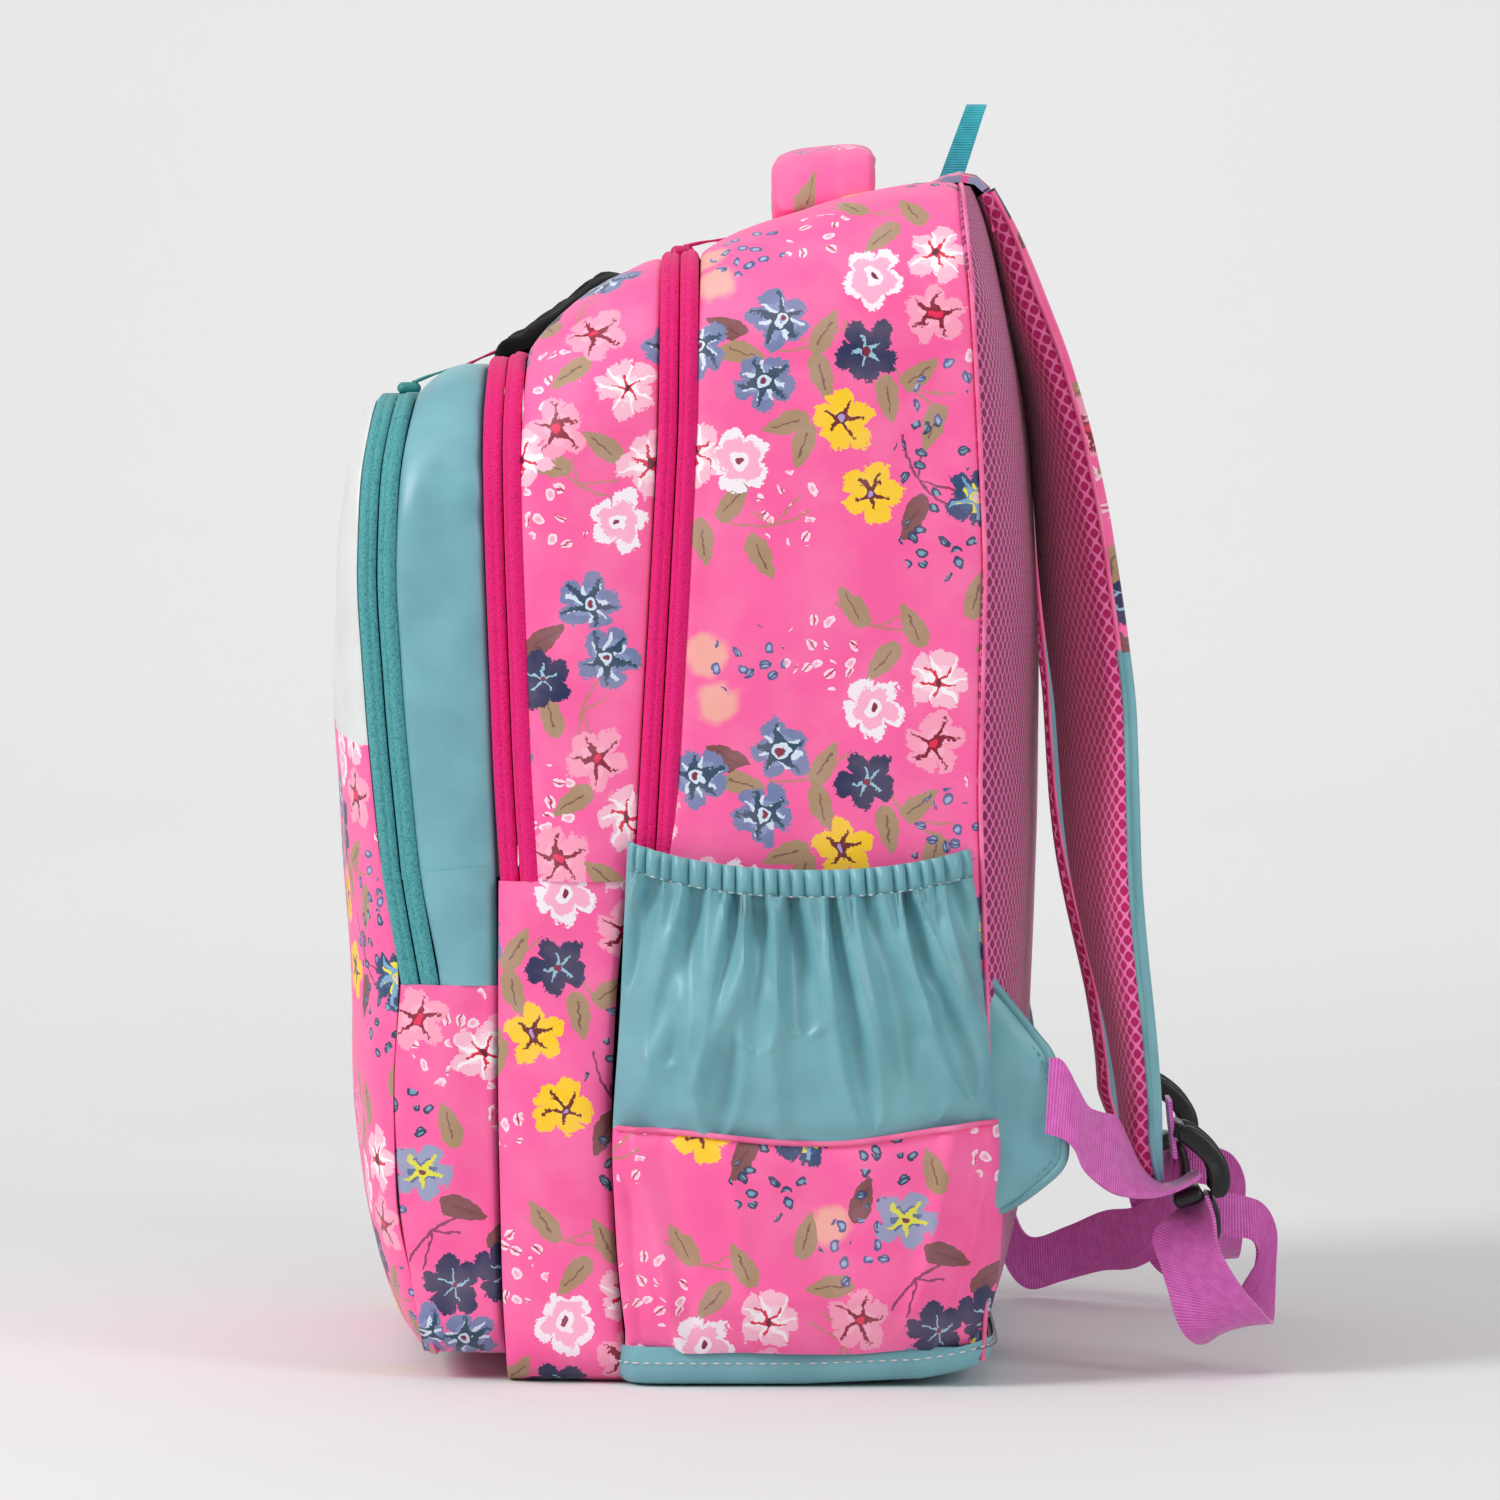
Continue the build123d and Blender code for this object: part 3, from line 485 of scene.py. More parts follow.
def plastic(name, colour, rough, scale=0.5, shine=0.5, scuffed=0.25):
    g = Graph(name)
    where = g.place()
    grain = g.noise(where, scale, 4.0)
    scuff = g.noise(g.vec("MULTIPLY", where, (1.0, 0.2, 0.2)), 0.6, 3.0)
    tone = g.mix(g.step(scuff, 0.55, 0.8, 0.0, scuffed), colour, rgb(90, 88, 92))
    g.bump(grain, 0.12, 0.0004)
    return g.done(tone, g.step(grain, 0.2, 0.8, rough, rough + 0.14), Specular_IOR_Level=shine)


def thread(name, colour):
    """Twisted sewing thread."""
    g = Graph(name)
    where = g.place()
    x, y, z = g.split(where)
    ply = g.math("SINE", g.mul(g.add(g.add(x, y), z), 9.0))
    g.bump(ply, 0.4, 0.0002)
    tone = g.mix(g.math("MULTIPLY_ADD", ply, 0.15, 0.2), colour, rgb(150, 130, 140))
    return g.done(tone, 0.6, Sheen_Weight=0.2)


TEAL, TEAL_PALE = rgb(100, 163, 174), rgb(112, 175, 185)
MATERIALS = {
    "print": printed_fabric("printed_fabric"),
    "teal": satin("teal_satin", TEAL, TEAL_PALE),
    "white": satin("white_satin", rgb(216, 219, 218), rgb(223, 226, 224), 0.42),
    "dark_teal": satin("dark_teal_fabric", rgb(10, 84, 104), rgb(20, 104, 122), 0.5),
    "back_mesh": air_mesh("back_air_mesh", rgb(222, 96, 164), rgb(150, 28, 92)),
    "strap_mesh": air_mesh("strap_air_mesh", rgb(250, 112, 172), rgb(206, 26, 106), 4.3),
    "lining": satin("grey_lining", rgb(92, 92, 98), rgb(112, 112, 118), 0.55),
    "foam": satin("stiffener_sheet", rgb(196, 196, 200), rgb(216, 216, 220), 0.6),
    "magenta_zip": zip_tape("magenta_zip_tape", rgb(208, 0, 98), rgb(250, 14, 134)),
    "teal_zip": zip_tape("teal_zip_tape", rgb(52, 134, 140), rgb(104, 188, 190)),
    "webbing": webbing("violet_webbing", rgb(200, 66, 164), rgb(232, 116, 206)),
    "ribbon": webbing("cyan_ribbon", rgb(8, 132, 152), rgb(44, 196, 208), 1.0),
    "black": plastic("black_plastic", rgb(10, 9, 11), 0.32),
    "rubber": plastic("black_gloss_badge", rgb(8, 3, 6), 0.5, 0.25, 0.06, 0.04),
    "pink_enamel": plastic("magenta_enamel", rgb(206, 14, 108), 0.3),
    "teal_enamel": plastic("teal_enamel", rgb(48, 138, 136), 0.3),
    "pink_piping": satin("pink_piping", rgb(240, 70, 140), rgb(252, 120, 172), 0.4),
    "teal_binding": satin("teal_binding", rgb(84, 146, 156), rgb(108, 170, 176), 0.42),
    "white_thread": thread("pale_thread", rgb(236, 236, 232)),
    "teal_thread": thread("teal_thread", rgb(92, 150, 158)),
}


# ---- mesh helpers ----------------------------------------------------------------------------
def mesh(name, points, faces, finish, cloth=None, face_finish=None, others=()):
    """An object from points in mm, with the place of each point on its flat cloth."""
    me = bpy.data.meshes.new(name)
    me.from_pydata((np.asarray(points, float) * MM).tolist(), [], [list(map(int, f)) for f in faces])
    me.materials.append(MATERIALS[finish])
    for other in others:
        me.materials.append(MATERIALS[other])
    if face_finish is not None:
        me.polygons.foreach_set("material_index", np.asarray(face_finish, np.int32))
    if cloth is None:
        cloth = np.asarray(points, float)
    flat = np.zeros((len(points), 3), np.float32)
    flat[:, :cloth.shape[1]] = cloth * MM
    layer = me.attributes.new("cloth", "FLOAT_VECTOR", "POINT")
    layer.data.foreach_set("vector", flat.ravel())
    me.validate()
    me.update()
    me.shade_smooth()
    me.set_sharp_from_angle(angle=math.radians(50))
    piece = bpy.data.objects.new(name, me)
    bpy.context.scene.collection.objects.link(piece)
    return piece


def normals_of(grid, closed=False):
    """Unit normals of a grid of points, rows by columns."""
    if closed:
        along = np.roll(grid, -1, 0) - np.roll(grid, 1, 0)
    else:
        along = np.gradient(grid, axis=0)
    across = np.gradient(grid, axis=1)
    n = np.cross(along, across)
    return n / np.maximum(np.linalg.norm(n, axis=2, keepdims=True), 1e-9)


def outer_normals(grid, outward=None, closed=False):
    """Unit normals on a grid's outer side, and whether they had to be turned over. Without a
    direction the outer side is the one away from the grid's middle."""
    normal = normals_of(grid, closed)
    guide = grid - grid.reshape(-1, 3).mean(0) if outward is None else np.asarray(outward, float)
    flip = bool((normal * guide).sum() < 0)
    return (-normal if flip else normal), flip


def travelled(points):
    """How far along its first axis each point of a path or grid is."""
    step = np.linalg.norm(np.diff(points, axis=0), axis=-1)
    return np.concatenate([np.zeros_like(step[:1]), np.cumsum(step, axis=0)])


def slab(name, grid, finish, cloth, thick=CLOTH_THICK, lining=None, outward=None, closed=False):
    """A sheet of fabric, thick millimetres deep, under a grid of its outer points."""
    normal, flip = outer_normals(grid, outward, closed)
    rows, cols = grid.shape[:2]
    inner = grid - normal * thick
    points = np.concatenate([grid.reshape(-1, 3), inner.reshape(-1, 3)])
    flat = np.concatenate([cloth.reshape(-1, cloth.shape[-1])] * 2)
    count = rows * cols
    faces, finishes = [], []

    def at(i, j, side):
        return side * count + (i % rows) * cols + j

    last = rows if closed else rows - 1
    for i in range(last):
        for j in range(cols - 1):
            quad = [at(i, j, 0), at(i + 1, j, 0), at(i + 1, j + 1, 0), at(i, j + 1, 0)]
            faces.append(quad[::-1] if flip else quad)
            finishes.append(0)
            quad = [at(i, j, 1), at(i, j + 1, 1), at(i + 1, j + 1, 1), at(i + 1, j, 1)]
            faces.append(quad[::-1] if flip else quad)
            finishes.append(1 if lining else 0)
    for i in range(last):
        for j, turn in ((0, True), (cols - 1, False)):
            quad = [at(i, j, 0), at(i, j, 1), at(i + 1, j, 1), at(i + 1, j, 0)]
            faces.append(quad if turn != flip else quad[::-1])
            finishes.append(0)
    if not closed:
        for j in range(cols - 1):
            for i, turn in ((0, False), (rows - 1, True)):
                quad = [at(i, j, 0), at(i, j, 1), at(i, j + 1, 1), at(i, j + 1, 0)]
                faces.append(quad if turn != flip else quad[::-1])
                finishes.append(0)
    return mesh(name, points, faces, finish, flat, finishes, (lining,) if lining else ())


def loft(name, rings, finish, cloth=None):
    """A closed form through rings of points, with flat caps."""
    rings = np.asarray(rings, float)
    rows, cols = rings.shape[:2]
    points = rings.reshape(-1, 3)
    faces = []
    for i in range(rows - 1):
        for j in range(cols):
            k = (j + 1) % cols
            faces.append([i * cols + j, i * cols + k, (i + 1) * cols + k, (i + 1) * cols + j])
    faces.append(list(range(cols))[::-1])
    faces.append([(rows - 1) * cols + j for j in range(cols)])
    volume = 0.0
    for f in faces[:(rows - 1) * cols]:
        a, b, c, d = (points[k] for k in f)
        volume += np.dot(a, np.cross(b, c)) + np.dot(a, np.cross(c, d))
    if volume < 0:
        faces = [f[::-1] for f in faces]
    if cloth is not None:
        cloth = np.asarray(cloth, float).reshape(len(points), -1)
    return mesh(name, points, faces, finish, cloth)


def smooth_path(points, count):
    """Evenly spaced points on a soft line through the given points."""
    points = np.asarray(points, float)
    ends = np.vstack([2 * points[0] - points[1], points, 2 * points[-1] - points[-2]])
    fine = []
    for i in range(len(points) - 1):
        p0, p1, p2, p3 = ends[i:i + 4]
        for t in np.linspace(0, 1, 24, endpoint=False):
            fine.append(0.5 * (2 * p1 + (p2 - p0) * t + (2 * p0 - 5 * p1 + 4 * p2 - p3) * t ** 2
                               + (3 * p1 - p0 - 3 * p2 + p3) * t ** 3))
    fine.append(points[-1])
    fine = np.array(fine)
    length = travelled(fine)
    want = np.linspace(0, length[-1], count)
    return np.stack([np.interp(want, length, fine[:, k]) for k in range(fine.shape[1])], 1)


def line(points, spread=9.0):
    """y as a smooth function of z, from (y, z) points listed upwards."""
    ys, zs = np.array(points, float).T
    grid = np.arange(zs[0], zs[-1] + 1.0, 1.0)
    y = np.interp(grid, zs, ys)
    reach = np.arange(-30, 31)
    weight = np.exp(-(reach / spread) ** 2 / 2)
    weight /= weight.sum()
    longer = np.concatenate([2 * y[0] - y[30:0:-1], y, 2 * y[-1] - y[-2:-32:-1]])
    y = np.convolve(longer, weight, "valid")
    return lambda z: np.interp(z, grid, y)


def ripple(a, b, wave, seed):
    """A smooth random surface from about -1 to 1 over two coordinates, the same on every run."""
    draw = random.Random(seed)
    waves = 7
    total = np.zeros(np.broadcast(a, b).shape)
    for _ in range(waves):
        angle, phase = draw.uniform(0, math.pi), draw.uniform(0, 2 * math.pi)
        k = 2 * math.pi / (wave * draw.uniform(0.7, 1.6))
        total = total + np.sin((a * math.cos(angle) + b * math.sin(angle)) * k + phase)
    return total / (waves ** 0.5 * 1.3)


def arch(half, corner, low, high, side_n=46):
    """The outline over the bag from the front: (x, z) points from the right side's foot, up, over and
    down to the left side's foot, with the length along it."""
    corner_n, top_n = 14, 30
    side_z = np.linspace(low, high - corner, side_n)
    angle = np.linspace(0, math.pi / 2, corner_n)[1:]
    right = np.concatenate([
        np.stack([np.full(side_n, half), side_z], 1),
        np.stack([half - corner + corner * np.cos(angle), high - corner + corner * np.sin(angle)], 1)])
    top_x = np.linspace(half - corner, -(half - corner), top_n)[1:-1]
    left = right[::-1] * (-1, 1)
    out = np.concatenate([right, np.stack([top_x, np.full(len(top_x), high)], 1), left])
    return out, travelled(out)


def edge_roll(from_edge, depth):
    """How far a fabric turns down towards a seam, by its distance from it."""
    near = np.clip(1 - from_edge / ROLL_WIDTH, 0, 1)
    return depth * (1 - np.sqrt(np.clip(1 - near ** 2, 0, 1)))


def edge_spaced(count, first=0.06):
    """Shares from 0 to 1 with closer spacing at both ends."""
    t = np.linspace(0, 1, count)
    return t - (0.5 - first) * np.sin(2 * math.pi * t) / math.pi * 0.9


def band(name, front, back, half, low, high, finish, thick=CLOTH_THICK, cols=17, crown=0.0, bulge=0.0,
         wrinkle=0.0, seed=1, lining=None, start=(0.0, 0.0), roll=1.8, relief=None, stop=None, wave=60.0,
         side_n=46):
    """A strip of fabric over the bag between two lines: up the right side, over the top and down the
    left side. With a stop it ends at that height on both sides, so it is two side strips."""
    share = edge_spaced(cols)
    first_out = arch(half[0], TOP_CORNER, low, high[0], side_n)[0]
    rows = len(first_out)
    grid = np.zeros((rows, cols, 3))
    cloth = np.zeros((rows, cols, 2))
    for j, t in enumerate(share):
        h = half[0] + (half[1] - half[0]) * t
        top = high[0] + (high[1] - high[0]) * t + crown * 4 * t * (1 - t)
        out, along = arch(h, TOP_CORNER, low, top, side_n)
        q = (out[:, 1] - low) / (top - low)
        y_front = front(low + q * (high[0] - low))
        y_back = back(low + q * (high[1] - low))
        y = y_front + (y_back - y_front) * t
        grid[:, j] = np.stack([out[:, 0], y, out[:, 1]], 1)
        cloth[:, j] = np.stack([y, low + along], 1)
    normal, _ = outer_normals(grid)
    width = np.linalg.norm(grid[:, -1] - grid[:, 0], axis=1)[:, None]
    t = share[None, :]
    from_edge = np.minimum(t, 1 - t) * width
    along = cloth[:, :, 1]
    lift = bulge * np.sin(math.pi * t) ** 0.8 - edge_roll(from_edge, roll)
    if wrinkle:
        fade = np.clip(from_edge / 8.0, 0, 1)
        lift = lift + wrinkle * ripple(cloth[:, :, 0] * 1.5, along * 0.8, wave, seed) * fade
    if relief is not None:
        lift = lift + relief(t * width, width, along)
    grid = grid + normal * lift[:, :, None]
    cloth = cloth + np.asarray(start)
    if stop is None:
        return slab(name, grid, finish, cloth, thick, lining)
    keep = int(np.sum(first_out[:side_n, 1] <= stop + 0.01))
    one = slab(name + "_right", grid[:keep], finish, cloth[:keep], thick, lining, outward=(1, 0, 0))
    two = slab(name + "_left", grid[-keep:], finish, cloth[-keep:], thick, lining, outward=(-1, 0, 0))
    return one, two


def upright(ahead):
    """A direction that isn't along ahead, to measure a section from."""
    return np.array([0.0, 0.0, 1.0]) if abs(ahead[2]) < 0.9 else np.array([0.0, 1.0, 0.0])


def tube(name, path, radius, finish):
    """A round piping along a path of points in mm."""
    path = np.asarray(path, float)
    ahead = np.gradient(path, axis=0)
    ahead /= np.maximum(np.linalg.norm(ahead, axis=1, keepdims=True), 1e-9)
    up = upright(ahead[0])
    sides = 8
    angle = np.linspace(0, 2 * math.pi, sides, endpoint=False)
    rings, cloth = [], []
    for point, forward, length in zip(path, ahead, travelled(path)):
        side = np.cross(up, forward)
        side /= np.linalg.norm(side)
        up = np.cross(forward, side)
        rings.append(point + radius * (np.cos(angle)[:, None] * side + np.sin(angle)[:, None] * up))
        cloth.append(np.stack([np.full(sides, length), angle * radius], 1))
    return loft(name, rings, finish, cloth)


def joined(name, parts):
    """One object from several, keeping their materials and cloth places."""
    bpy.ops.object.select_all(action="DESELECT")
    for part in parts:
        part.select_set(True)
    bpy.context.view_layer.objects.active = parts[0]
    bpy.ops.object.join()
    parts[0].name = name
    parts[0].data.name = name
    return parts[0]


def stitches(name, path, finish, dash, gap, radius):
    """Dashes of thread along a line of points."""
    path = np.asarray(path, float)
    length = travelled(path)
    faces, points = [], []
    sides = 5
    place = gap
    while place + dash < length[-1]:
        dashes = np.linspace(place, place + dash, 4)
        centre = np.stack([np.interp(dashes, length, path[:, k]) for k in range(3)], 1)
        ahead = centre[-1] - centre[0]
        ahead /= max(np.linalg.norm(ahead), 1e-9)
        side = np.cross(upright(ahead), ahead)
        side /= np.linalg.norm(side)
        up = np.cross(ahead, side)
        first = len(points)
        for i, c in enumerate(centre):
            r = radius * (0.45 if i in (0, 3) else 1.0)
            for k in range(sides):
                a = 2 * math.pi * k / sides
                points.append(c + r * (math.cos(a) * side + math.sin(a) * up))
        for i in range(3):
            for k in range(sides):
                faces.append([first + i * sides + k, first + i * sides + (k + 1) % sides,
                              first + (i + 1) * sides + (k + 1) % sides, first + (i + 1) * sides + k])
        faces.append([first + k for k in range(sides)][::-1])
        faces.append([first + 3 * sides + k for k in range(sides)])
        place += dash + gap
    return mesh(name, points, faces, finish)


def strip(name, top, low, finish, count, across, thick):
    """A flat woven band between two edge lines, modelled directly."""
    a, b = smooth_path(top, count), smooth_path(low, count)
    share = np.linspace(0, 1, across)
    grid = a[:, None, :] * (1 - share[None, :, None]) + b[:, None, :] * share[None, :, None]
    along = travelled((a + b) / 2)
    width = np.linalg.norm(a - b, axis=1)
    cloth = np.stack([np.broadcast_to(along[:, None], (count, across)), share[None, :] * width[:, None]], 2)
    return slab(name, grid, finish, cloth, thick)


def superellipse(count, power):
    """Points round a soft rectangle, from -1 to 1."""
    angle = np.linspace(0, 2 * math.pi, count, endpoint=False)
    c, s = np.cos(angle), np.sin(angle)
    return np.stack([np.sign(c) * np.abs(c) ** (2 / power), np.sign(s) * np.abs(s) ** (2 / power)], 1)


# ---- lines of the bag, seen from the side, as (y, z) -----------------------------------------
MAIN_ZIP = [(-17, 183), (-15.5, 210), (-11.5, 281), (-8, 349), (-7.5, 411)]
SECOND_ZIP = [(-66, 183), (-68.5, 222), (-71.5, 304), (-72.5, 349), (-71, 373)]
POCKET_ZIP = [(-102, 144), (-109, 183), (-114, 234), (-118, 290), (-116.5, 335), (-112, 359)]
BACK_SEAM = [(102, 6), (105, 60), (104.5, 120), (101, 215), (103, 300), (99, 380), (95, 437)]
TAPE = 7.0
HALF = {"main_back": 150.5, "main": 151.0, "main_zip": 149.0, "second": 147.0, "second_back": 146.5,
        "second_zip": 142.5, "pocket_back": 138.5, "pocket": 137.0, "pocket_zip": 135.5, "face": 134.0}


def moved(points, dy):
    return [(y + dy, z) for y, z in points]


def from_height(points, low):
    """The line from z = low upwards."""
    at = line(points, 1.0)
    return [(float(at(low)), low)] + [p for p in points if p[1] > low + 1]


# ---- main compartment ------------------------------------------------------------------------
print_start = (3.7, 0.0)
main_front = line([(-27, 8), (-27, 150), (-20, 170)] + moved(MAIN_ZIP, TAPE)[1:], 7.0)
main_side = band("main_side", main_front, line(BACK_SEAM), (HALF["main"], HALF["main_back"]), 8.0,
                 (411.0, 437.0), "print", cols=25, crown=5.0, bulge=2.0, wrinkle=0.7, seed=3, lining="lining",
                 start=print_start, side_n=70, wave=70.0)
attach(main_side, "bag")
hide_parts("main_shell")


TRAY_Y = 38.0           # the middle of the base
TRAY_POWER = 14.0       # how square its corners are


def tray_lift(y):
    """How the base rises towards the back, from 0 to 1."""
    return np.clip((y - 62.0) / 42.0, 0, 1) ** 1.6


def base_tray():
    """The bottom panel, turned up all round and lifted a little at the back."""
    outline = superellipse(144, TRAY_POWER)
    rows = [(1.0, 14.5), (1.006, 10.0), (1.006, 6.0), (0.995, 2.6), (0.975, 0.7), (0.93, 0.0), (0.6, 0.0),
            (0.02, 0.0)]
    outer = []
    for scale, z in rows:
        x = outline[:, 0] * 155.0 * scale
        y = TRAY_Y + outline[:, 1] * (69.2 * scale)
        lift = 7.0 * tray_lift(y) if z < 12 else 0.0
        outer.append(np.stack([x, y, z + lift + 0 * y], 1))
    grid = np.array(outer).transpose(1, 0, 2)
    return slab("base_panel_piece", grid, "teal", grid[:, :, :2], 2.0, "lining", closed=True)


base = base_tray()
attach(base, "bag")
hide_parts("base_panel")
rim = superellipse(240, TRAY_POWER)
rim_y = TRAY_Y + rim[:, 1] * 70.1
rim_path = np.stack([rim[:, 0] * 156.2, rim_y, 8.6 + 6.0 * tray_lift(rim_y)], 1)
hem = stitches("base_stitches", np.vstack([rim_path, rim_path[:1]]), "white_thread", 2.4, 1.8, 0.35)
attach(hem, "bag")

# ---- padded back -----------------------------------------------------------------------------
BACK_LINE = line([(103, 9), (116, 40), (122, 75), (124, 130), (126.5, 200), (127.2, 258), (126.4, 300),
                  (123.5, 340), (119, 370), (112.5, 400), (106.5, 425), (101.5, 436.5)], 6.0)
SEAM_LINE = line(BACK_SEAM)
BACK_CORNER = 50.0      # radius of the back's upper corners


def back_panel_grid():
    """The mesh panel's outer surface: rounded at its sides, crowned in the middle."""
    rows, cols = 90, 61
    z = 9.0 + 427.0 * edge_spaced(rows, 0.12)
    across = np.sin(np.linspace(-math.pi / 2, math.pi / 2, cols))
    grid = np.zeros((cols, rows, 3))
    for j, height in enumerate(z):
        drop = max(0.0, height - (437.0 - BACK_CORNER))
        rise = max(0.0, 40.0 - height)
        half = 151.0 - BACK_CORNER + math.sqrt(max(0.0, BACK_CORNER ** 2 - drop ** 2))
        half -= 14.0 * (rise / 40.0) ** 2
        seam, crown = SEAM_LINE(height), BACK_LINE(height)
        profile = (1 - np.abs(across) ** 2.6) ** 0.62
        grid[:, j, 0] = across * half
        grid[:, j, 1] = seam + (crown - seam) * profile
        grid[:, j, 2] = height
    return grid


def puff(piece, pressure, cap):
    """Swells a closed padded form with the cloth simulation, by no more than cap in mm, and puts the
    result in its mesh. The simulation works on an even mesh, so the cloth places are carried over."""
    rest = piece.data.copy()
    bpy.ops.object.select_all(action="DESELECT")
    piece.select_set(True)
    bpy.context.view_layer.objects.active = piece
    remesh = piece.modifiers.new("remesh", "REMESH")
    remesh.mode = "VOXEL"
    remesh.voxel_size = 0.0035
    bpy.ops.object.modifier_apply(modifier="remesh")
    before = np.array([v.co for v in piece.data.vertices])
    tree = KDTree(len(rest.vertices))
    for i, v in enumerate(rest.vertices):
        tree.insert(v.co, i)
    tree.balance()
    known = rest.attributes["cloth"].data
    flat = np.zeros((len(before), 3), np.float32)
    for i, place in enumerate(before):
        near = tree.find_n(place, 4)
        weights = np.array([1.0 / (far + 1e-5) for _, _, far in near])
        values = np.array([known[k].vector for _, k, _ in near])
        flat[i] = (values * weights[:, None]).sum(0) / weights.sum()
    layers = piece.data.attributes
    layer = layers.get("cloth") or layers.new("cloth", "FLOAT_VECTOR", "POINT")
    layer.data.foreach_set("vector", flat.ravel())
    cloth = piece.modifiers.new("cloth", "CLOTH")
    s = cloth.settings
    s.use_pressure = True
    s.uniform_pressure_force = pressure
    s.effector_weights.gravity = 0.0
    s.tension_stiffness = s.compression_stiffness = 25.0
    s.bending_stiffness = 2.0
    last_frame = 20
    cloth.point_cache.frame_start, cloth.point_cache.frame_end = 1, last_frame
    scene = bpy.context.scene
    for f in range(1, last_frame + 1):
        scene.frame_set(f)
    graph = bpy.context.evaluated_depsgraph_get()
    swollen = piece.evaluated_get(graph).data
    after = np.array([v.co for v in swollen.vertices])
    move = after - before
    far = np.linalg.norm(move, axis=1, keepdims=True)
    move *= np.minimum(1.0, cap * MM / np.maximum(far, 1e-9))
    piece.modifiers.remove(cloth)
    piece.data.vertices.foreach_set("co", (before + move).ravel())
    scene.frame_set(1)
    bpy.data.meshes.remove(rest)
    finer = piece.modifiers.new("finer", "SUBSURF")
    finer.levels = finer.render_levels = 1
    bpy.ops.object.modifier_apply(modifier="finer")
    piece.data.shade_smooth()


back_grid = back_panel_grid()
back_grid[:, :, 1] += ripple(back_grid[:, :, 0], back_grid[:, :, 2], 90.0, 11) * 0.8
back_cloth = np.stack([travelled(back_grid), back_grid[:, :, 2]], 2)
back = slab("back_mesh_panel", back_grid, "back_mesh", back_cloth, 6.0, "lining", outward=(0, 1, 0))
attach(back, "bag")
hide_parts("back_panel")
seam_out, _ = arch(150.3, BACK_CORNER, 9.0, 436.5, 60)
seam_path = np.stack([seam_out[:, 0], SEAM_LINE(seam_out[:, 1]) + 0.6, seam_out[:, 1]], 1)
piping = tube("back_seam_piping", seam_path, 0.9, "pink_piping")
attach(piping, "bag")


# inner walls: a lining behind the back, the sleeve, and walls that close each compartment
def inner_wall(name, at, half, low, high, corner, finish, body, replaces=()):
    rows, cols = 34, 25
    z = np.linspace(low, high, rows)
    across = np.linspace(-1, 1, cols)
    grid = np.zeros((cols, rows, 3))
    for j, height in enumerate(z):
        drop = max(0.0, height - (high - corner))
        h = half - corner + math.sqrt(max(0.0, corner ** 2 - drop ** 2))
        grid[:, j, 0] = across * h
        grid[:, j, 1] = at(height)
        grid[:, j, 2] = height
    grid[:, :, 1] += ripple(grid[:, :, 0], grid[:, :, 2], 90.0, len(name)) * 0.5
    piece = slab(name, grid, finish, grid[:, :, ::2], 1.6, outward=(0, -1, 0))
    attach(piece, body)
    if replaces:
        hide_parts(*replaces)
    return piece


inner_wall("main_back_lining", lambda z: SEAM_LINE(z) - 6.5, 147.0, 12.0, 431.0, 48.0, "lining", "bag")
inner_wall("divider_panel_piece", line(moved(MAIN_ZIP, -TAPE - 0.8)), 143.5, 184.0, 402.0, 48.0,
           "lining", "second_section", replaces=("divider_panel",))
inner_wall("pocket_back_panel", line(moved(SECOND_ZIP, -TAPE - 0.8)), 135.0, 184.0, 365.0, 48.0,
           "lining", "pocket_section")
inner_wall("second_front_lining", lambda z: -69.0, 133.0, 14.0, 182.0, 0.0, "lining", "bag")
inner_wall("main_front_lining", lambda z: -24.5, 143.0, 12.0, 182.0, 0.0, "lining", "bag")
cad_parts["back_stiffener"].data.materials.clear()
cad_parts["back_stiffener"].data.materials.append(MATERIALS["foam"])


def pad_form(name, centre, size, finish):
    """A soft pad: a rounded rectangle in X and Z with soft edges in Y."""
    outline = superellipse(64, 14.0)
    rings, cloth = [], []
    for t in np.linspace(-1, 1, 20):
        scale = max((1 - abs(t) ** 4) ** 0.25 * 0.97, 0.04)
        rings.append(np.stack([centre[0] + outline[:, 0] * size[0] / 2 * scale,
                               np.full(64, centre[1] + t * size[1] / 2),
                               centre[2] + outline[:, 1] * size[2] / 2 * scale], 1))
        cloth.append(rings[-1][:, ::2])
    return loft(name, rings, finish, cloth)


sleeve = pad_form("laptop_sleeve_piece", (0, 86.0, 150.0), (240, 12, 269), "lining")
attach(sleeve, "bag")
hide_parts("laptop_sleeve")

# ---- second compartment ----------------------------------------------------------------------
second_side = band("second_side", line(moved(SECOND_ZIP, TAPE)), line(moved(MAIN_ZIP, -TAPE)),
                   (HALF["second_back"], HALF["second"]), FOLD_Z, (374.0, 410.0), "print", crown=3.5,
                   bulge=2.2, wrinkle=0.9, seed=8, lining="lining", start=(227.0, 0.0), wave=55.0)
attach(second_side, "second_section")
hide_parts("second_shell")


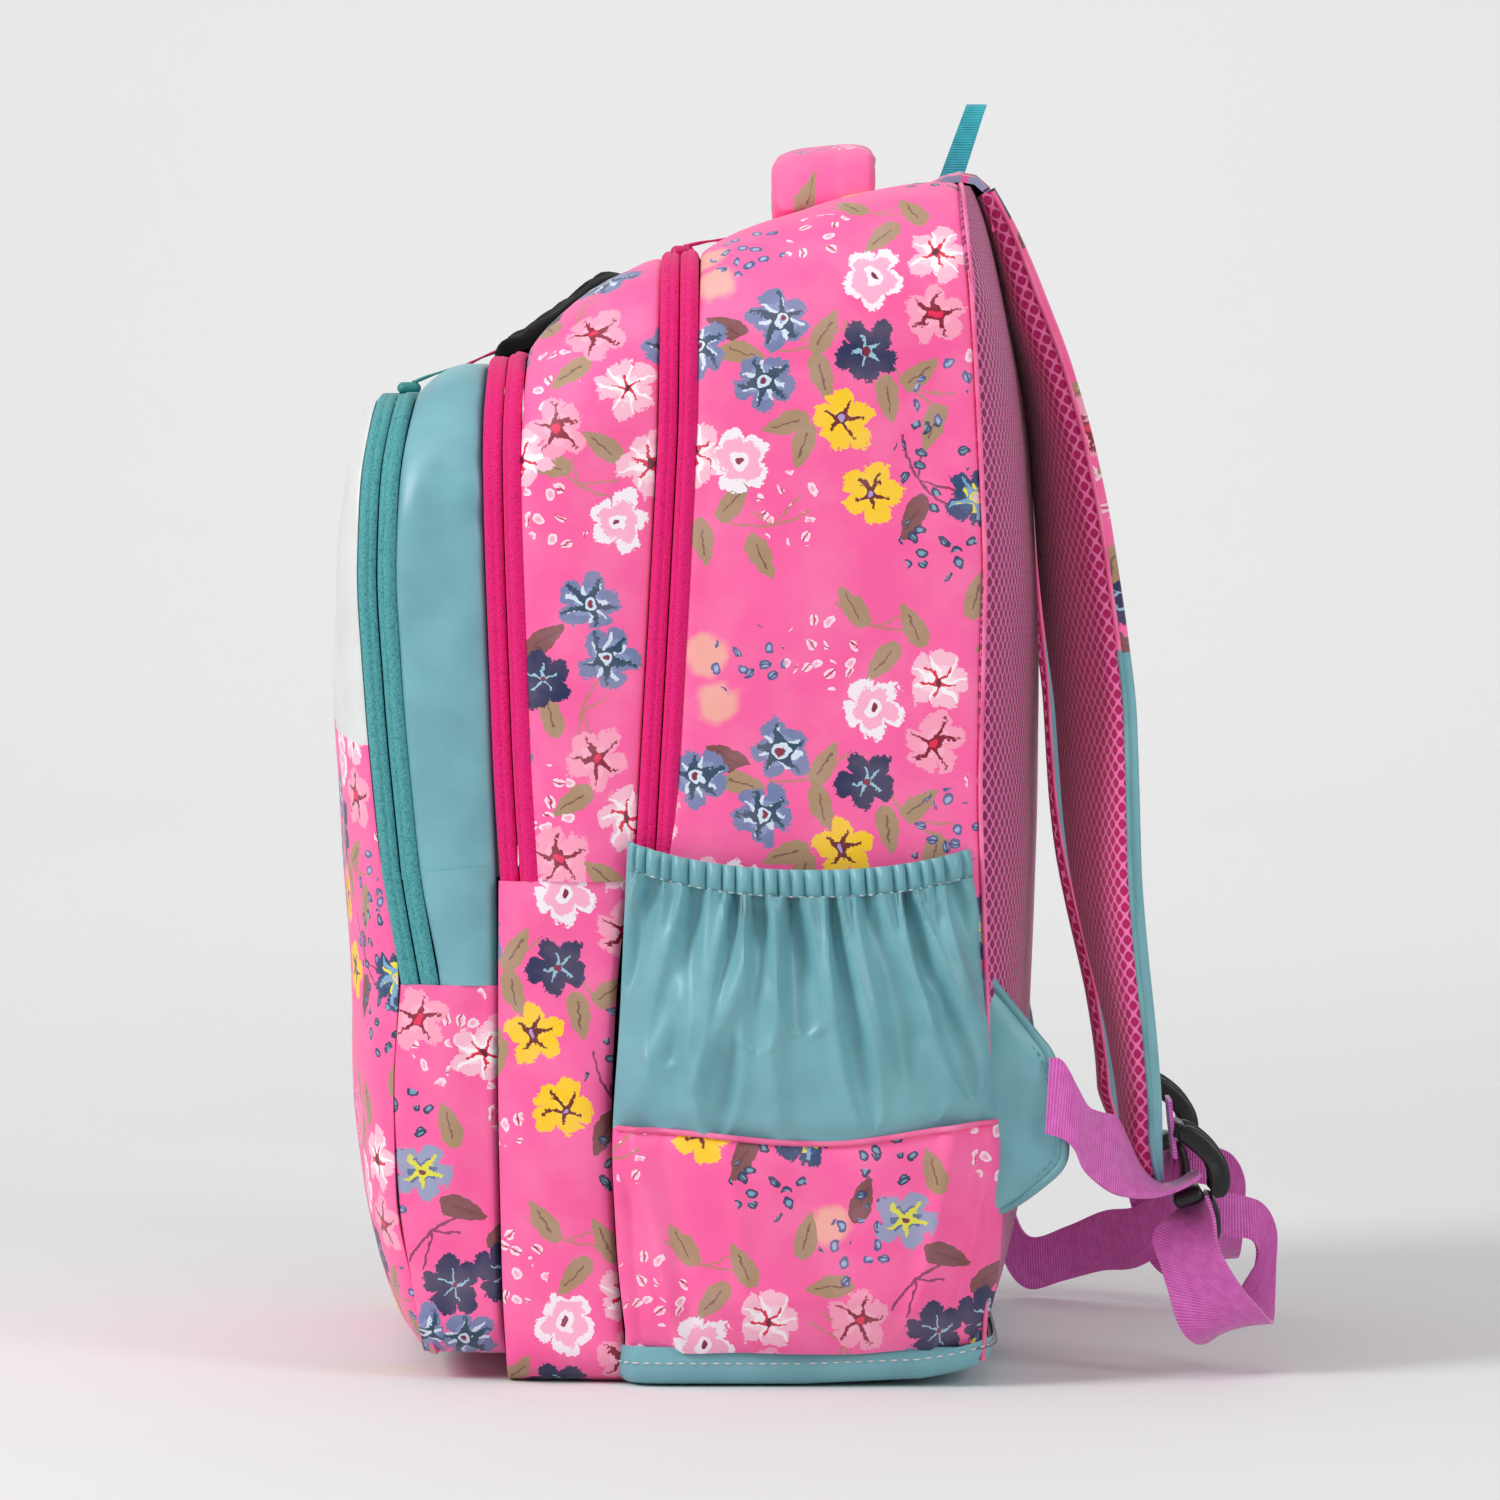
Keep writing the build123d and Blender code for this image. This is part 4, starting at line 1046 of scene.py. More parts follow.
def foot_band(name, front, back, half, low, high, finish, start, bulge, wrinkle, seed):
    """The lower end of a compartment: down the right side, across the bottom and up the left side."""
    corner, cols = 14.0, 13
    side_n, corner_n, bottom_n = 44, 9, 26
    share = edge_spaced(cols)
    z_side = np.linspace(high, low + corner, side_n)
    angle = np.linspace(0, math.pi / 2, corner_n)[1:]
    rows = side_n + len(angle)
    grid = np.zeros((2 * rows + bottom_n - 2, cols, 3))
    cloth = np.zeros((grid.shape[0], cols, 2))
    for j, t in enumerate(share):
        h = half[0] + (half[1] - half[0]) * t
        right = np.concatenate([
            np.stack([np.full(side_n, h), z_side], 1),
            np.stack([h - corner + corner * np.cos(angle), low + corner - corner * np.sin(angle)], 1)])
        bottom_x = np.linspace(h - corner, -(h - corner), bottom_n)[1:-1]
        bottom = np.stack([bottom_x, np.full(bottom_n - 2, low)], 1)
        out = np.concatenate([right, bottom, right[::-1] * (-1, 1)])
        y_front, y_back = front(out[:, 1]), back(out[:, 1])
        y = y_front + (y_back - y_front) * t
        grid[:, j] = np.stack([out[:, 0], y, out[:, 1]], 1)
        cloth[:, j] = np.stack([y, high - travelled(out)], 1)
    normal, _ = outer_normals(grid)
    width = np.linalg.norm(grid[:, -1] - grid[:, 0], axis=1)[:, None]
    t = share[None, :]
    from_edge = np.minimum(t, 1 - t) * width
    lift = bulge * np.sin(math.pi * t) ** 0.8 - edge_roll(from_edge, 2.0)
    above = np.clip((grid[:, :, 2] - low) / 12.0, 0, 1)
    below = np.clip((high - grid[:, :, 2]) / 8.0, 0, 1)
    waves = ripple(cloth[:, :, 0] * 1.6, cloth[:, :, 1] * 0.7, 48.0, seed)
    lift = lift * above + wrinkle * waves * np.clip(from_edge / 8, 0, 1) * above * below
    grid = grid + normal * lift[:, :, None]
    grid[:, :, 2] = np.maximum(grid[:, :, 2], low)
    return slab(name, grid, finish, cloth + np.asarray(start), CLOTH_THICK, "lining")


# the heights in metres over which a piece bends from one section to the next
FOOT_BLEND = {"start": (0, 0, 0.03), "end": (0, 0, 0.18)}
GUSSET_BLEND = {"start": (0, 0, 0.183), "end": (0, 0, 0.225)}
MIDDLE_BLEND = {"start": (0, 0, 0.190), "end": (0, 0, 0.231)}
FACE_BLEND = {"start": (0, 0, 0.240), "end": (0, 0, 0.280)}
second_foot = foot_band("second_foot_piece",
                        line([(-70, 0), (-72, 30), (-73.5, 100), (-73.4, 150), (-73.2, 183)]),
                        line([(-26, 0), (-31, 50), (-32.5, 100), (-30, 150), (-25.5, 183)]),
                        (143.0, 147.0), 0.0, FOLD_Z, "print", (115.4, 67.8), 2.6, 1.0, 21)
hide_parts("second_foot", "second_fold")
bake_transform(second_foot, "bag", "second_section", **FOOT_BLEND)

# ---- front pocket: printed foot, teal strip, teal gusset -------------------------------------
TEAL_LOW = 144.7
pocket_foot = foot_band("pocket_foot_piece", line([(-101, 9), (-110, 60), (-112.5, 110), (-109.5, 145)]),
                        line([(-71, 9), (-72.5, 30), (-74, 100), (-73.0, 145)]),
                        (134.5, 139.5), 9.0, TEAL_LOW, "print", (240.7, 216.0), 2.4, 1.1, 31)
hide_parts("pocket_foot")
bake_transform(pocket_foot, "bag", "second_section", **FOOT_BLEND)

gusset_front = line([(-96, 100), (-94, 144.7)] + moved(POCKET_ZIP, TAPE)[1:], 8.0)
gusset_back = line([(-74.5, 100), (-73.5, 144.7), (-74, 183)] + moved(SECOND_ZIP, -TAPE)[1:], 8.0)


def teal_relief(across, width, along):
    """Soft vertical hollows in the gusset and puckers at its rear seam."""
    t = across / width
    hollow = -2.8 * np.exp(-((t - 0.55) / 0.22) ** 2) * np.exp(-((along - 322.0) / 13.0) ** 2)
    hollow += -2.0 * np.exp(-((t - 0.45) / 0.3) ** 2) * np.exp(-((along - 268.0) / 20.0) ** 2)
    hollow += 1.7 * np.exp(-((t - 0.5) / 0.3) ** 2) * np.exp(-((along - 245.0) / 12.0) ** 2)
    high_up = np.clip((along - 290.0) / 30.0, 0, 1)
    pucker = 1.1 * np.sin(along / 3.4) * np.exp(-((1 - t) / 0.16) ** 2) * high_up
    return hollow + pucker


gusset = band("pocket_gusset_piece", gusset_front, gusset_back, (HALF["pocket"], HALF["pocket_back"]), FOLD_Z,
              (358.5, 369.5), "teal", crown=2.0, bulge=2.6, wrinkle=0.9, seed=5, lining="lining",
              relief=teal_relief, wave=50.0)
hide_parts("pocket_gusset", "pocket_fold")
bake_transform(gusset, "second_section", "pocket_section", **GUSSET_BLEND)
strips = band("pocket_gusset_low", gusset_front, gusset_back, (HALF["pocket"], HALF["pocket_back"]), TEAL_LOW,
              (358.5, 369.5), "teal", bulge=2.6, wrinkle=0.9, seed=5, lining="lining", relief=teal_relief,
              stop=FOLD_Z + 3.0, side_n=80)
for piece in strips:
    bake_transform(piece, "bag", "second_section", **FOOT_BLEND)


# ---- front face ------------------------------------------------------------------------------
FACE_EDGE = line([(-96, 9), (-101, 20), (-111, 60), (-112, 110), (-109.5, 145), (-111, 165)]
                 + moved(from_height(POCKET_ZIP, 190), -TAPE), 8.0)
FACE_FRONT = line(moved([(-100.5, 9), (-109, 18), (-115.5, 37), (-121.6, 62), (-125.2, 90), (-126.0, 125),
                         (-128.5, 160), (-130.5, 200), (-132.4, 240), (-132.6, 268), (-131.4, 300),
                         (-127.8, 330), (-123.5, 348), (-119.5, 357.5)], -4.4), 5.0)


def face_grid(low, high, rows):
    """Part of the domed front, between two heights that may vary across it."""
    cols, half, corner, top = 65, HALF["face"], 50.0, 358.0
    lean = np.linspace(-math.pi / 2, math.pi / 2, cols)
    across = np.sin(lean)
    grid = np.zeros((cols, rows, 3))
    for i, s in enumerate(across):
        z = low(s) + (high(s) - low(s)) * np.linspace(0, 1, rows)
        drop = np.clip(z - (top - corner), 0, corner)
        rise = np.clip(26.0 - z, 0, 26.0)
        h = half - corner + np.sqrt(corner ** 2 - drop ** 2) - 9.0 * (rise / 26.0) ** 2
        edge, front = FACE_EDGE(z), FACE_FRONT(z)
        profile = (1 - abs(s) ** 3.2) ** 0.55
        grid[i, :, 0] = s * h
        grid[i, :, 1] = edge + (front - edge) * profile
        grid[i, :, 2] = z
    return grid


def face_piece(name, low, high, rows, finish, start, wrinkle=0.8):
    grid = face_grid(low, high, rows)
    fade = np.clip((grid[:, :, 2] - 12) / 30, 0, 1) * np.clip((354 - grid[:, :, 2]) / 25, 0, 1)
    calm_edge = 1 - (np.abs(grid[:, :, 0]) / HALF["face"]) ** 6
    grid[:, :, 1] -= wrinkle * ripple(grid[:, :, 0], grid[:, :, 2] * 0.8, 60.0, 77) * fade * calm_edge
    cloth = np.stack([travelled(grid) + start[0], grid[:, :, 2] + start[1]], 2)
    return slab(name, grid, finish, cloth, CLOTH_THICK, "lining", outward=(0, -1, 0))


def white_edge(s):
    """Height of the seam under the plain panel."""
    return 242.0 - 10.0 * abs(s) ** 1.6


face_white = face_piece("face_upper_piece", white_edge, lambda s: 357.5, 36, "white", (0, 0), 1.1)
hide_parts("face_upper_panel")
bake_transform(face_white, "pocket_section", "face_section", **FACE_BLEND)
face_mid = face_piece("face_middle_piece", lambda s: FOLD_Z, white_edge, 20, "print", (40.0, 20.0))
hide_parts("face_lower_panel", "face_fold")
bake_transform(face_mid, "second_section", "pocket_section", **MIDDLE_BLEND)
face_foot = face_piece("face_foot_piece", lambda s: 9.0, lambda s: FOLD_Z, 44, "print", (40.0, 20.0))
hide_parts("face_foot")
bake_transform(face_foot, "bag", "second_section", **FOOT_BLEND)


# ---- zips ------------------------------------------------------------------------------------
def tape_relief(flip):
    """A zip tape half: rounded edges, and a groove a third of the way in from its teeth."""
    def shape(across, width, along):
        t = across / width
        if flip:
            t = 1 - t
        groove = -0.55 * np.exp(-((t - 0.62) / 0.06) ** 2)
        ridge = 0.5 * np.exp(-((t - 0.3) / 0.28) ** 2)
        return groove + ridge
    return shape


def zip_half(name, points, rear, half, low, high, finish, body, ends=None, stop=None, node=None):
    """One half of a zip's tape, over the bag or as two side strips below stop. It rides a body, or
    bends between two of them."""
    near, far = (0.25, TAPE) if rear else (-TAPE, -0.25)
    made = band(name, line(moved(points, near)), line(moved(points, far)), half, low, high, finish, thick=1.8,
                cols=15, roll=1.3, relief=tape_relief(rear), bulge=0.9, stop=stop, side_n=160 if stop else 46)
    for piece in made if stop else [made]:
        if ends:
            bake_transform(piece, *body, **ends)
        else:
            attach(piece, body)
        if node:
            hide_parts(node)


MAIN_TO_SECOND = ("bag", "second_section")
SECOND_TO_POCKET = ("second_section", "pocket_section")
POCKET_REAR_TAPE = (HALF["pocket_zip"], HALF["pocket"])
POCKET_FRONT_TAPE = (HALF["face"], HALF["pocket_zip"])
zip_half("main_zip_rear_tape", MAIN_ZIP, True, (HALF["main_zip"], HALF["main"]), FOLD_Z - 0.5, (411.6, 411.6),
         "magenta_zip", "bag", node="main_zip_rear")
zip_half("main_zip_front_tape", MAIN_ZIP, False, (HALF["second"], HALF["main_zip"]), FOLD_Z, (410.2, 411.6),
         "magenta_zip", "second_section", node="main_zip_front")
zip_half("second_zip_rear_tape", SECOND_ZIP, True, (HALF["second_zip"], HALF["second_back"]), FOLD_Z,
         (373.6, 374.4), "magenta_zip", "second_section", node="second_zip_rear")
zip_half("second_zip_front_tape", SECOND_ZIP, False, (HALF["pocket_back"], HALF["second_zip"]), FOLD_Z,
         (371.5, 373.6), "magenta_zip", SECOND_TO_POCKET, GUSSET_BLEND, node="second_zip_front")
zip_half("pocket_zip_rear_tape", from_height(POCKET_ZIP, FOLD_Z), True, POCKET_REAR_TAPE, FOLD_Z,
         (359.4, 359.0), "teal_zip", SECOND_TO_POCKET, GUSSET_BLEND, node="pocket_zip_rear")
zip_half("pocket_zip_rear_low", POCKET_ZIP, True, POCKET_REAR_TAPE, TEAL_LOW, (359.4, 359.0), "teal_zip",
         MAIN_TO_SECOND, FOOT_BLEND, stop=FOLD_Z + 3.0)
zip_half("pocket_zip_front_tape", from_height(POCKET_ZIP, FACE_HINGE_Z), False, POCKET_FRONT_TAPE,
         FACE_HINGE_Z, (358.4, 359.4), "teal_zip", ("pocket_section", "face_section"), FACE_BLEND,
         node="pocket_zip_front")
zip_half("pocket_zip_front_mid", from_height(POCKET_ZIP, FOLD_Z), False, POCKET_FRONT_TAPE, FOLD_Z,
         (358.4, 359.4), "teal_zip", SECOND_TO_POCKET, MIDDLE_BLEND, stop=FACE_HINGE_Z + 2.0)
zip_half("pocket_zip_front_low", POCKET_ZIP, False, POCKET_FRONT_TAPE, TEAL_LOW, (358.4, 359.4), "teal_zip",
         MAIN_TO_SECOND, FOOT_BLEND, stop=FOLD_Z + 3.0)


def slider_form(name, x, y, low, finish):
    """A rounded zip slider, narrower at its top and bottom than in its middle."""
    outline = superellipse(28, 3.2)
    rings = []
    for t in np.linspace(0, 1, 9):
        scale = 0.3 + 0.7 * math.sin(math.pi * (0.08 + 0.84 * t)) ** 0.5
        rings.append(np.stack([x + outline[:, 0] * 4.4 * scale, y + outline[:, 1] * 4.6 * scale,
                               np.full(28, low + 4.6 * t)], 1))
    return loft(name, rings, finish)


def pull_form(name, x, start, end, finish):
    """A slim flat pull with a rounded end and a hollow in its middle, from start to end as (y, z)."""
    path = smooth_path([start, ((start[0] + end[0]) / 2, (start[1] + end[1]) / 2 + 0.4), end], 26)
    outline = superellipse(20, 4.0)
    rings = []
    for t, (y, z) in zip(np.linspace(0, 1, 26), path):
        half = 2.9 * (0.72 + 0.28 * t) * (1 - (2 * t - 1) ** 12) + 0.3
        thin = 0.75 - 0.3 * math.exp(-((t - 0.6) / 0.2) ** 2)
        rings.append(np.stack([x + outline[:, 0] * half, np.full(20, y), z + outline[:, 1] * thin], 1))
    return loft(name, rings, finish)


# where each slider stands (x, y and its underside) and the two ends of its pull
PULLS = {"main": (-20.0, -7.5, 411.6, (-7.0, 415.9), (11.0, 418.8), "pink_enamel"),
         "second": (24.0, -71.0, 373.6, (-72.0, 377.6), (-90.0, 369.8), "pink_enamel"),
         "pocket": (-24.0, -112.0, 359.6, (-111.0, 363.9), (-93.5, 369.8), "teal_enamel")}
BODIES = {"main": ("main_slider", "main_pull"), "second": ("second_slider", "second_pull"),
          "pocket": ("pocket_slider", "pocket_pull")}
for zip_name, (x, y, low, start, end, finish) in PULLS.items():
    piece = slider_form(f"{zip_name}_slider_piece", x, y, low, finish)
    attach(piece, BODIES[zip_name][0])
    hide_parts(f"{zip_name}_zip_slider")
    piece = pull_form(f"{zip_name}_pull_piece", x, start, end, finish)
    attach(piece, BODIES[zip_name][1])
    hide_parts(f"{zip_name}_zip_pull")

# ---- side pockets ----------------------------------------------------------------------------
POCKET_FRONT = line([(-25.5, 9), (-29.5, 40), (-32.0, 86), (-31.0, 105), (-29.0, 130), (-27.5, 165),
                     (-26.0, 200)])
POCKET_REAR = line([(98.0, 9), (104.0, 17), (108.0, 34), (109.5, 48), (111.0, 78), (110.0, 96), (106.5, 125),
                    (103.0, 160), (98.5, 200)])
POCKET_WIDE = 138.0
MOUTH_Z, POCKET_SEAM_Z = 188.2, 90.5
CASING = 10.0           # depth of the gathered mouth
PUFFS = 25              # and how many puffs it has
# a pocket opens from its seam upwards, so its lower edge stays on the bag
SIDE_POCKET_BLEND = {"start": (0, 0, 0.096), "end": (0, 0, 0.150)}
puff_draw = random.Random(91)
PUFF_EDGES = np.cumsum([0.0] + [puff_draw.uniform(0.6, 1.4) for _ in range(PUFFS)])
PUFF_EDGES /= PUFF_EDGES[-1]


def puff_profile(u):
    """0 in the creases of the gathered mouth and 1 on its puffs."""
    cell = np.clip(np.searchsorted(PUFF_EDGES, u, side="right") - 1, 0, PUFFS - 1)
    t = (u - PUFF_EDGES[cell]) / (PUFF_EDGES[cell + 1] - PUFF_EDGES[cell])
    return np.sin(math.pi * np.clip(t, 0, 1)) ** 0.7


def pocket_reach(u, z):
    """How far the smooth pocket stands from the middle of the bag."""
    bow = (1 - abs(2 * u - 1) ** 3.0) ** 0.8
    foot = np.clip((z - 11.0) / 22.0, 0, 1) ** 0.5
    top = 1 - 0.3 * np.clip((z - 140) / 48, 0, 1)
    tuck = 5.0 * np.clip((u - 0.965) / 0.035, 0, 1) ** 2
    return 151.6 + (3.0 + 13.5 * foot) * bow * top - tuck


def pocket_fade(u):
    """0 at the pocket's two upright seams and 1 between them."""
    return np.clip(np.minimum(u, 1 - u) / 0.03, 0, 1)


def pocket_y(u, z):
    return POCKET_FRONT(z) + (POCKET_REAR(z) - POCKET_FRONT(z)) * u


def pocket_surface(name, low, high, rows, finish, side, start, shape, cols=161, thick=1.6):
    """Part of a side pocket's wall. shape(u, z) is how far it lifts off the smooth bulge, in mm."""
    s = np.linspace(0, 1, cols)
    grid = np.zeros((cols, rows, 3))
    for i, u in enumerate(s):
        z = low(u) + (high(u) - low(u)) * np.linspace(0, 1, rows)
        grid[i, :, 0] = pocket_reach(u, z)
        grid[i, :, 1] = pocket_y(u, z)
        grid[i, :, 2] = z
    normal, _ = outer_normals(grid, (1, 0, 0))
    u = s[:, None] * np.ones((1, rows))
    grid = grid + normal * (shape(u, grid[:, :, 2]) * pocket_fade(u))[:, :, None]
    cloth = np.stack([grid[:, :, 1] + start[0], grid[:, :, 2] + start[1]], 2)
    if side < 0:
        grid = grid * (-1, 1, 1)
    return slab(name, grid, finish, cloth, thick, "lining", outward=(side, 0, 0))


def seam_z(u):
    """Height of the piped seam along the pocket."""
    return POCKET_SEAM_Z + 3.5 * (2 * u - 1) ** 2 + 6.0 * np.clip(u - 0.62, 0, 1) ** 1.2 + 1.2 * np.sin(9 * u)


def mouth_z(u):
    """Height of the mouth, higher at its ends."""
    return MOUTH_Z + 8.6 * abs(2 * u - 1.06) ** 2.2


def casing_z(u):
    """Height of the gathered mouth's lower edge."""
    return mouth_z(u) - CASING


def folds(side):
    """Random but repeatable hollows that run down from the gathered mouth, spreading outwards: place,
    slant, length, half-width and depth."""
    draw = random.Random(40 + side)
    out = []
    for k in range(9):
        place = 0.04 + 0.92 * (k + draw.uniform(0.2, 0.8)) / 9
        slant = 0.46 * (place - 0.50) + draw.uniform(-0.1, 0.1)
        out.append((place, slant, draw.uniform(48, 98), draw.uniform(5.5, 10.0), draw.uniform(3.6, 5.6)))
    return out


def gathered(side):
    """How the pocket's wall lies: hollows and creases under its gathers, and a billow."""
    hollows = folds(side)
    draw = random.Random(70 + side)
    creases = [(draw.uniform(0.1, 0.9), draw.uniform(-0.3, 0.3), draw.uniform(5, 35), draw.uniform(74, 104),
                draw.uniform(2.0, 3.4)) for _ in range(8)]

    def shape(u, z):
        down = np.clip(casing_z(u) - z, 0, 200)
        total = 2.6 * puff_profile(u) * np.exp(-down / 8.0) - 0.6
        for place, slant, length, width, depth in hollows:
            q = np.clip(down / length, 0, 1.2)
            middle = (place + slant * (down / 90.0) ** 1.2) * POCKET_WIDE
            half = width * np.sqrt(np.clip(1 - q ** 5, 0, 1)) * (0.4 + 0.75 * q) + 0.3
            off = np.abs(u * POCKET_WIDE - middle) / half
            fade = np.clip(1.08 - q, 0, 1) ** 0.6 * np.clip(half / 2.0, 0, 1)
            total -= depth * np.clip(1 - off ** 2, 0, 1) * fade
            total += 0.55 * depth * np.exp(-((off - 1.2) / 0.5) ** 2) * fade
        for place, slant, first, last, height in creases:
            middle = (place + slant * (down / 90.0)) * POCKET_WIDE
            along = np.clip((down - first) / (last - first), 0, 1)
            ridge = np.exp(-((u * POCKET_WIDE - middle) / 4.4) ** 2)
            total += height * ridge * np.sin(math.pi * along) ** 0.7
        billow = 3.0 * np.sin(math.pi * np.clip(down / 95.0, 0, 1)) * np.sin(math.pi * u) ** 0.6
        seam_pull = -2.2 * np.exp(-((z - seam_z(u)) / 5.0) ** 2)
        crumple = 1.3 * ripple(u * 135.0, z * 0.45, 32.0, 60 + side) * np.clip(down / 20, 0, 1)
        return total + billow + crumple + seam_pull
    return shape


def casing_shape(u, z):
    """How the gathered mouth lies: a row of puffs."""
    q = np.clip((z - casing_z(u)) / CASING, 0, 1)
    return 3.4 * puff_profile(u) * np.sin(math.pi * (0.1 + 0.82 * q)) ** 0.5 - 0.9


def foot_low_z(u):
    """Lower edge of the printed part: it lifts at both ends, where the base tray is rounded."""
    return 12.5 + 3.4 * np.abs(2 * u - 1) ** 8


def foot_shape(side):
    """How the printed part lies: drawn in at its seam, pleated and tucked in at its ends."""
    def shape(u, z):
        pull = -1.8 * np.exp(-((z - seam_z(u)) / 4.0) ** 2)
        pleats = np.zeros(u.shape)
        for place, slant, height in ((0.06, 0.10, 2.4), (0.13, 0.06, -1.8), (0.86, -0.10, 2.2),
                                     (0.93, -0.07, -1.8), (0.3, 0.05, 1.0)):
            centre = place + slant * (90 - z) / 80.0
            pleats += height * np.exp(-((u - centre) / 0.025) ** 2) * np.clip((z - 12) / 20, 0, 1)
        low = np.clip((84 - z) / 20, 0, 1)
        ahead = np.clip((0.03 + 0.13 * (84 - z) / 72.0 - u) * POCKET_WIDE / 5.0, 0, 1)
        behind = np.clip((u - 0.97 + 0.10 * (84 - z) / 72.0) * POCKET_WIDE / 5.0, 0, 1)
        tucked = -2.6 * low * (np.sin(0.5 * math.pi * ahead) + np.sin(0.5 * math.pi * behind))
        return pull + pleats + tucked + 1.2 * ripple(u * 135.0, z, 42.0, 70 + side)
    return shape


for side, word in SIDES:
    body = f"side_pocket_{word}"
    foot = pocket_surface(f"side_pocket_foot_piece_{word}", foot_low_z, seam_z, 46, "print", side,
                          (65.2, 230.6), foot_shape(side))
    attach(foot, "bag")
    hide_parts(f"side_pocket_foot_{word}")
    wall = pocket_surface(f"side_pocket_wall_piece_{word}", seam_z, casing_z, 72, "teal", side, (0, 0),
                          gathered(side))
    casing = pocket_surface(f"side_pocket_casing_piece_{word}", casing_z, mouth_z, 14, "teal", side, (0, 0),
                            casing_shape, cols=241, thick=2.2)
    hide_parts(f"side_pocket_wall_{word}")
    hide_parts(f"side_pocket_casing_{word}")
    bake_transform(wall, "bag", body, **SIDE_POCKET_BLEND)
    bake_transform(casing, "bag", body, **SIDE_POCKET_BLEND)
    u = np.linspace(0.01, 0.985, 110)
    z = seam_z(u)
    fade = pocket_fade(u)
    seam_x = side * (pocket_reach(u, z) + 0.7 + foot_shape(side)(u, z) * fade)
    seam_path = np.stack([seam_x, pocket_y(u, z), z], 1)
    seam = tube(f"side_pocket_piping_{word}", seam_path, 1.1, "pink_piping")
    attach(seam, "bag")
    z = mouth_z(u) - 9.7
    row_x = side * (pocket_reach(u, z) + 0.35 + casing_shape(u, z) * fade)
    row_path = np.stack([row_x, pocket_y(u, z), z], 1)
    row = stitches(f"casing_stitches_{word}", row_path, "white_thread", 1.9, 2.4, 0.3)
    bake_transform(row, "bag", body, **SIDE_POCKET_BLEND)

# ---- wings -----------------------------------------------------------------------------------
# the wing's outer edge, as (y, z)
WING = [(105.0, 148.0), (113.0, 138.0), (121.5, 127.5), (127.5, 119.0), (130.5, 104.0), (132.5, 88.0),
        (131.0, 80.0), (124.0, 73.0), (113.5, 65.5), (105.0, 62.0)]


def wing_wave(z):
    """The wing's outer edge is not flat: it waves along its height."""
    return 2.4 * np.sin(z / 13.0)


for side, word in SIDES:
    outer = smooth_path(WING, 60)
    inner_z = np.linspace(148.0, 62.0, 60)
    grid = np.zeros((60, 14, 3))
    for j, t in enumerate(np.linspace(0, 1, 14)):
        grid[:, j, 1] = 103.5 + (outer[:, 0] - 103.5) * t
        grid[:, j, 2] = inner_z + (outer[:, 1] - inner_z) * t
        cockle = 2.4 * math.sin(math.pi * t) * np.sin(outer[:, 1] / 9.0)
        grid[:, j, 0] = 150.4 + wing_wave(outer[:, 1]) * t - 0.6 * t + cockle
    if side < 0:
        grid = grid * (-1, 1, 1)
    wing = slab(f"wing_piece_{word}", grid, "teal", grid[:, :, 1:], 2.0, "teal", outward=(side, 0, 0))
    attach(wing, "bag")
    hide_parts(f"wing_{word}")
    rim = np.stack([side * (149.8 + wing_wave(outer[:, 1])), outer[:, 0], outer[:, 1]], 1)
    edge = tube(f"wing_binding_{word}", rim, 1.7, "teal_binding")
    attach(edge, "bag")
    inset = rim + np.array([side * 1.4, -3.4, 0.0])
    inset[:, 2] += np.linspace(-2.5, 3.0, 60)
    sewn = stitches(f"wing_stitches_{word}", inset, "teal_thread", 2.0, 1.4, 0.25)
    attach(sewn, "bag")

# ---- carrying handle, its strip, the yoke and the hanging loop -------------------------------
TAPE_HALF = 92.0        # half the width of the strip and the yoke


def top_height(y):
    """Height of the bag's top at a depth."""
    t = np.clip((y - 0.5) / 94.5, 0, 1)
    return 411.0 + 26.0 * t + 5.0 * 4 * t * (1 - t) + 2.0


def handle_form():
    """A padded band that arches over the top, with square sewn ends."""
    ribs = [(-69, 426.5), (-66, 433.0), (-59, 439.8), (-47, 443.6), (-24, 444.8), (0, 445.2), (24, 444.8),
            (47, 443.6), (59, 439.8), (66, 433.0), (69, 426.5)]
    centre = smooth_path(ribs, 60)
    section = superellipse(36, 5.0)
    ahead = np.gradient(centre, axis=0)
    ahead /= np.linalg.norm(ahead, axis=1, keepdims=True)
    normal = np.stack([-ahead[:, 1], ahead[:, 0]], 1)
    rings, cloth = [], []
    for i, c in enumerate(centre):
        thick = (5.4 + 0.5 * math.sin(i * 0.7)) * (1 - 0.16 * section[:, 0])
        half = 20.6 - 1.5 * abs(i / 29.5 - 1) ** 4
        rise = (section[:, 0] * half) * 0.16
        rings.append(np.stack([c[0] + section[:, 1] * thick * normal[i, 0], 46.0 + section[:, 0] * half,
                               c[1] + section[:, 1] * thick * normal[i, 1] + rise], 1))
        cloth.append(np.stack([section[:, 0] * half + 247.0, i * 2.6 + 150.0 + section[:, 1] * 4], 1))
    return loft("grab_handle_piece", rings, "print", cloth)


handle = handle_form()
puff(handle, 3.0, 3.0)
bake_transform(handle, "bag", "handle", start=(0, 0, 0.4345), end=(0, 0, 0.4425))
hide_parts("grab_handle", "handle_base")

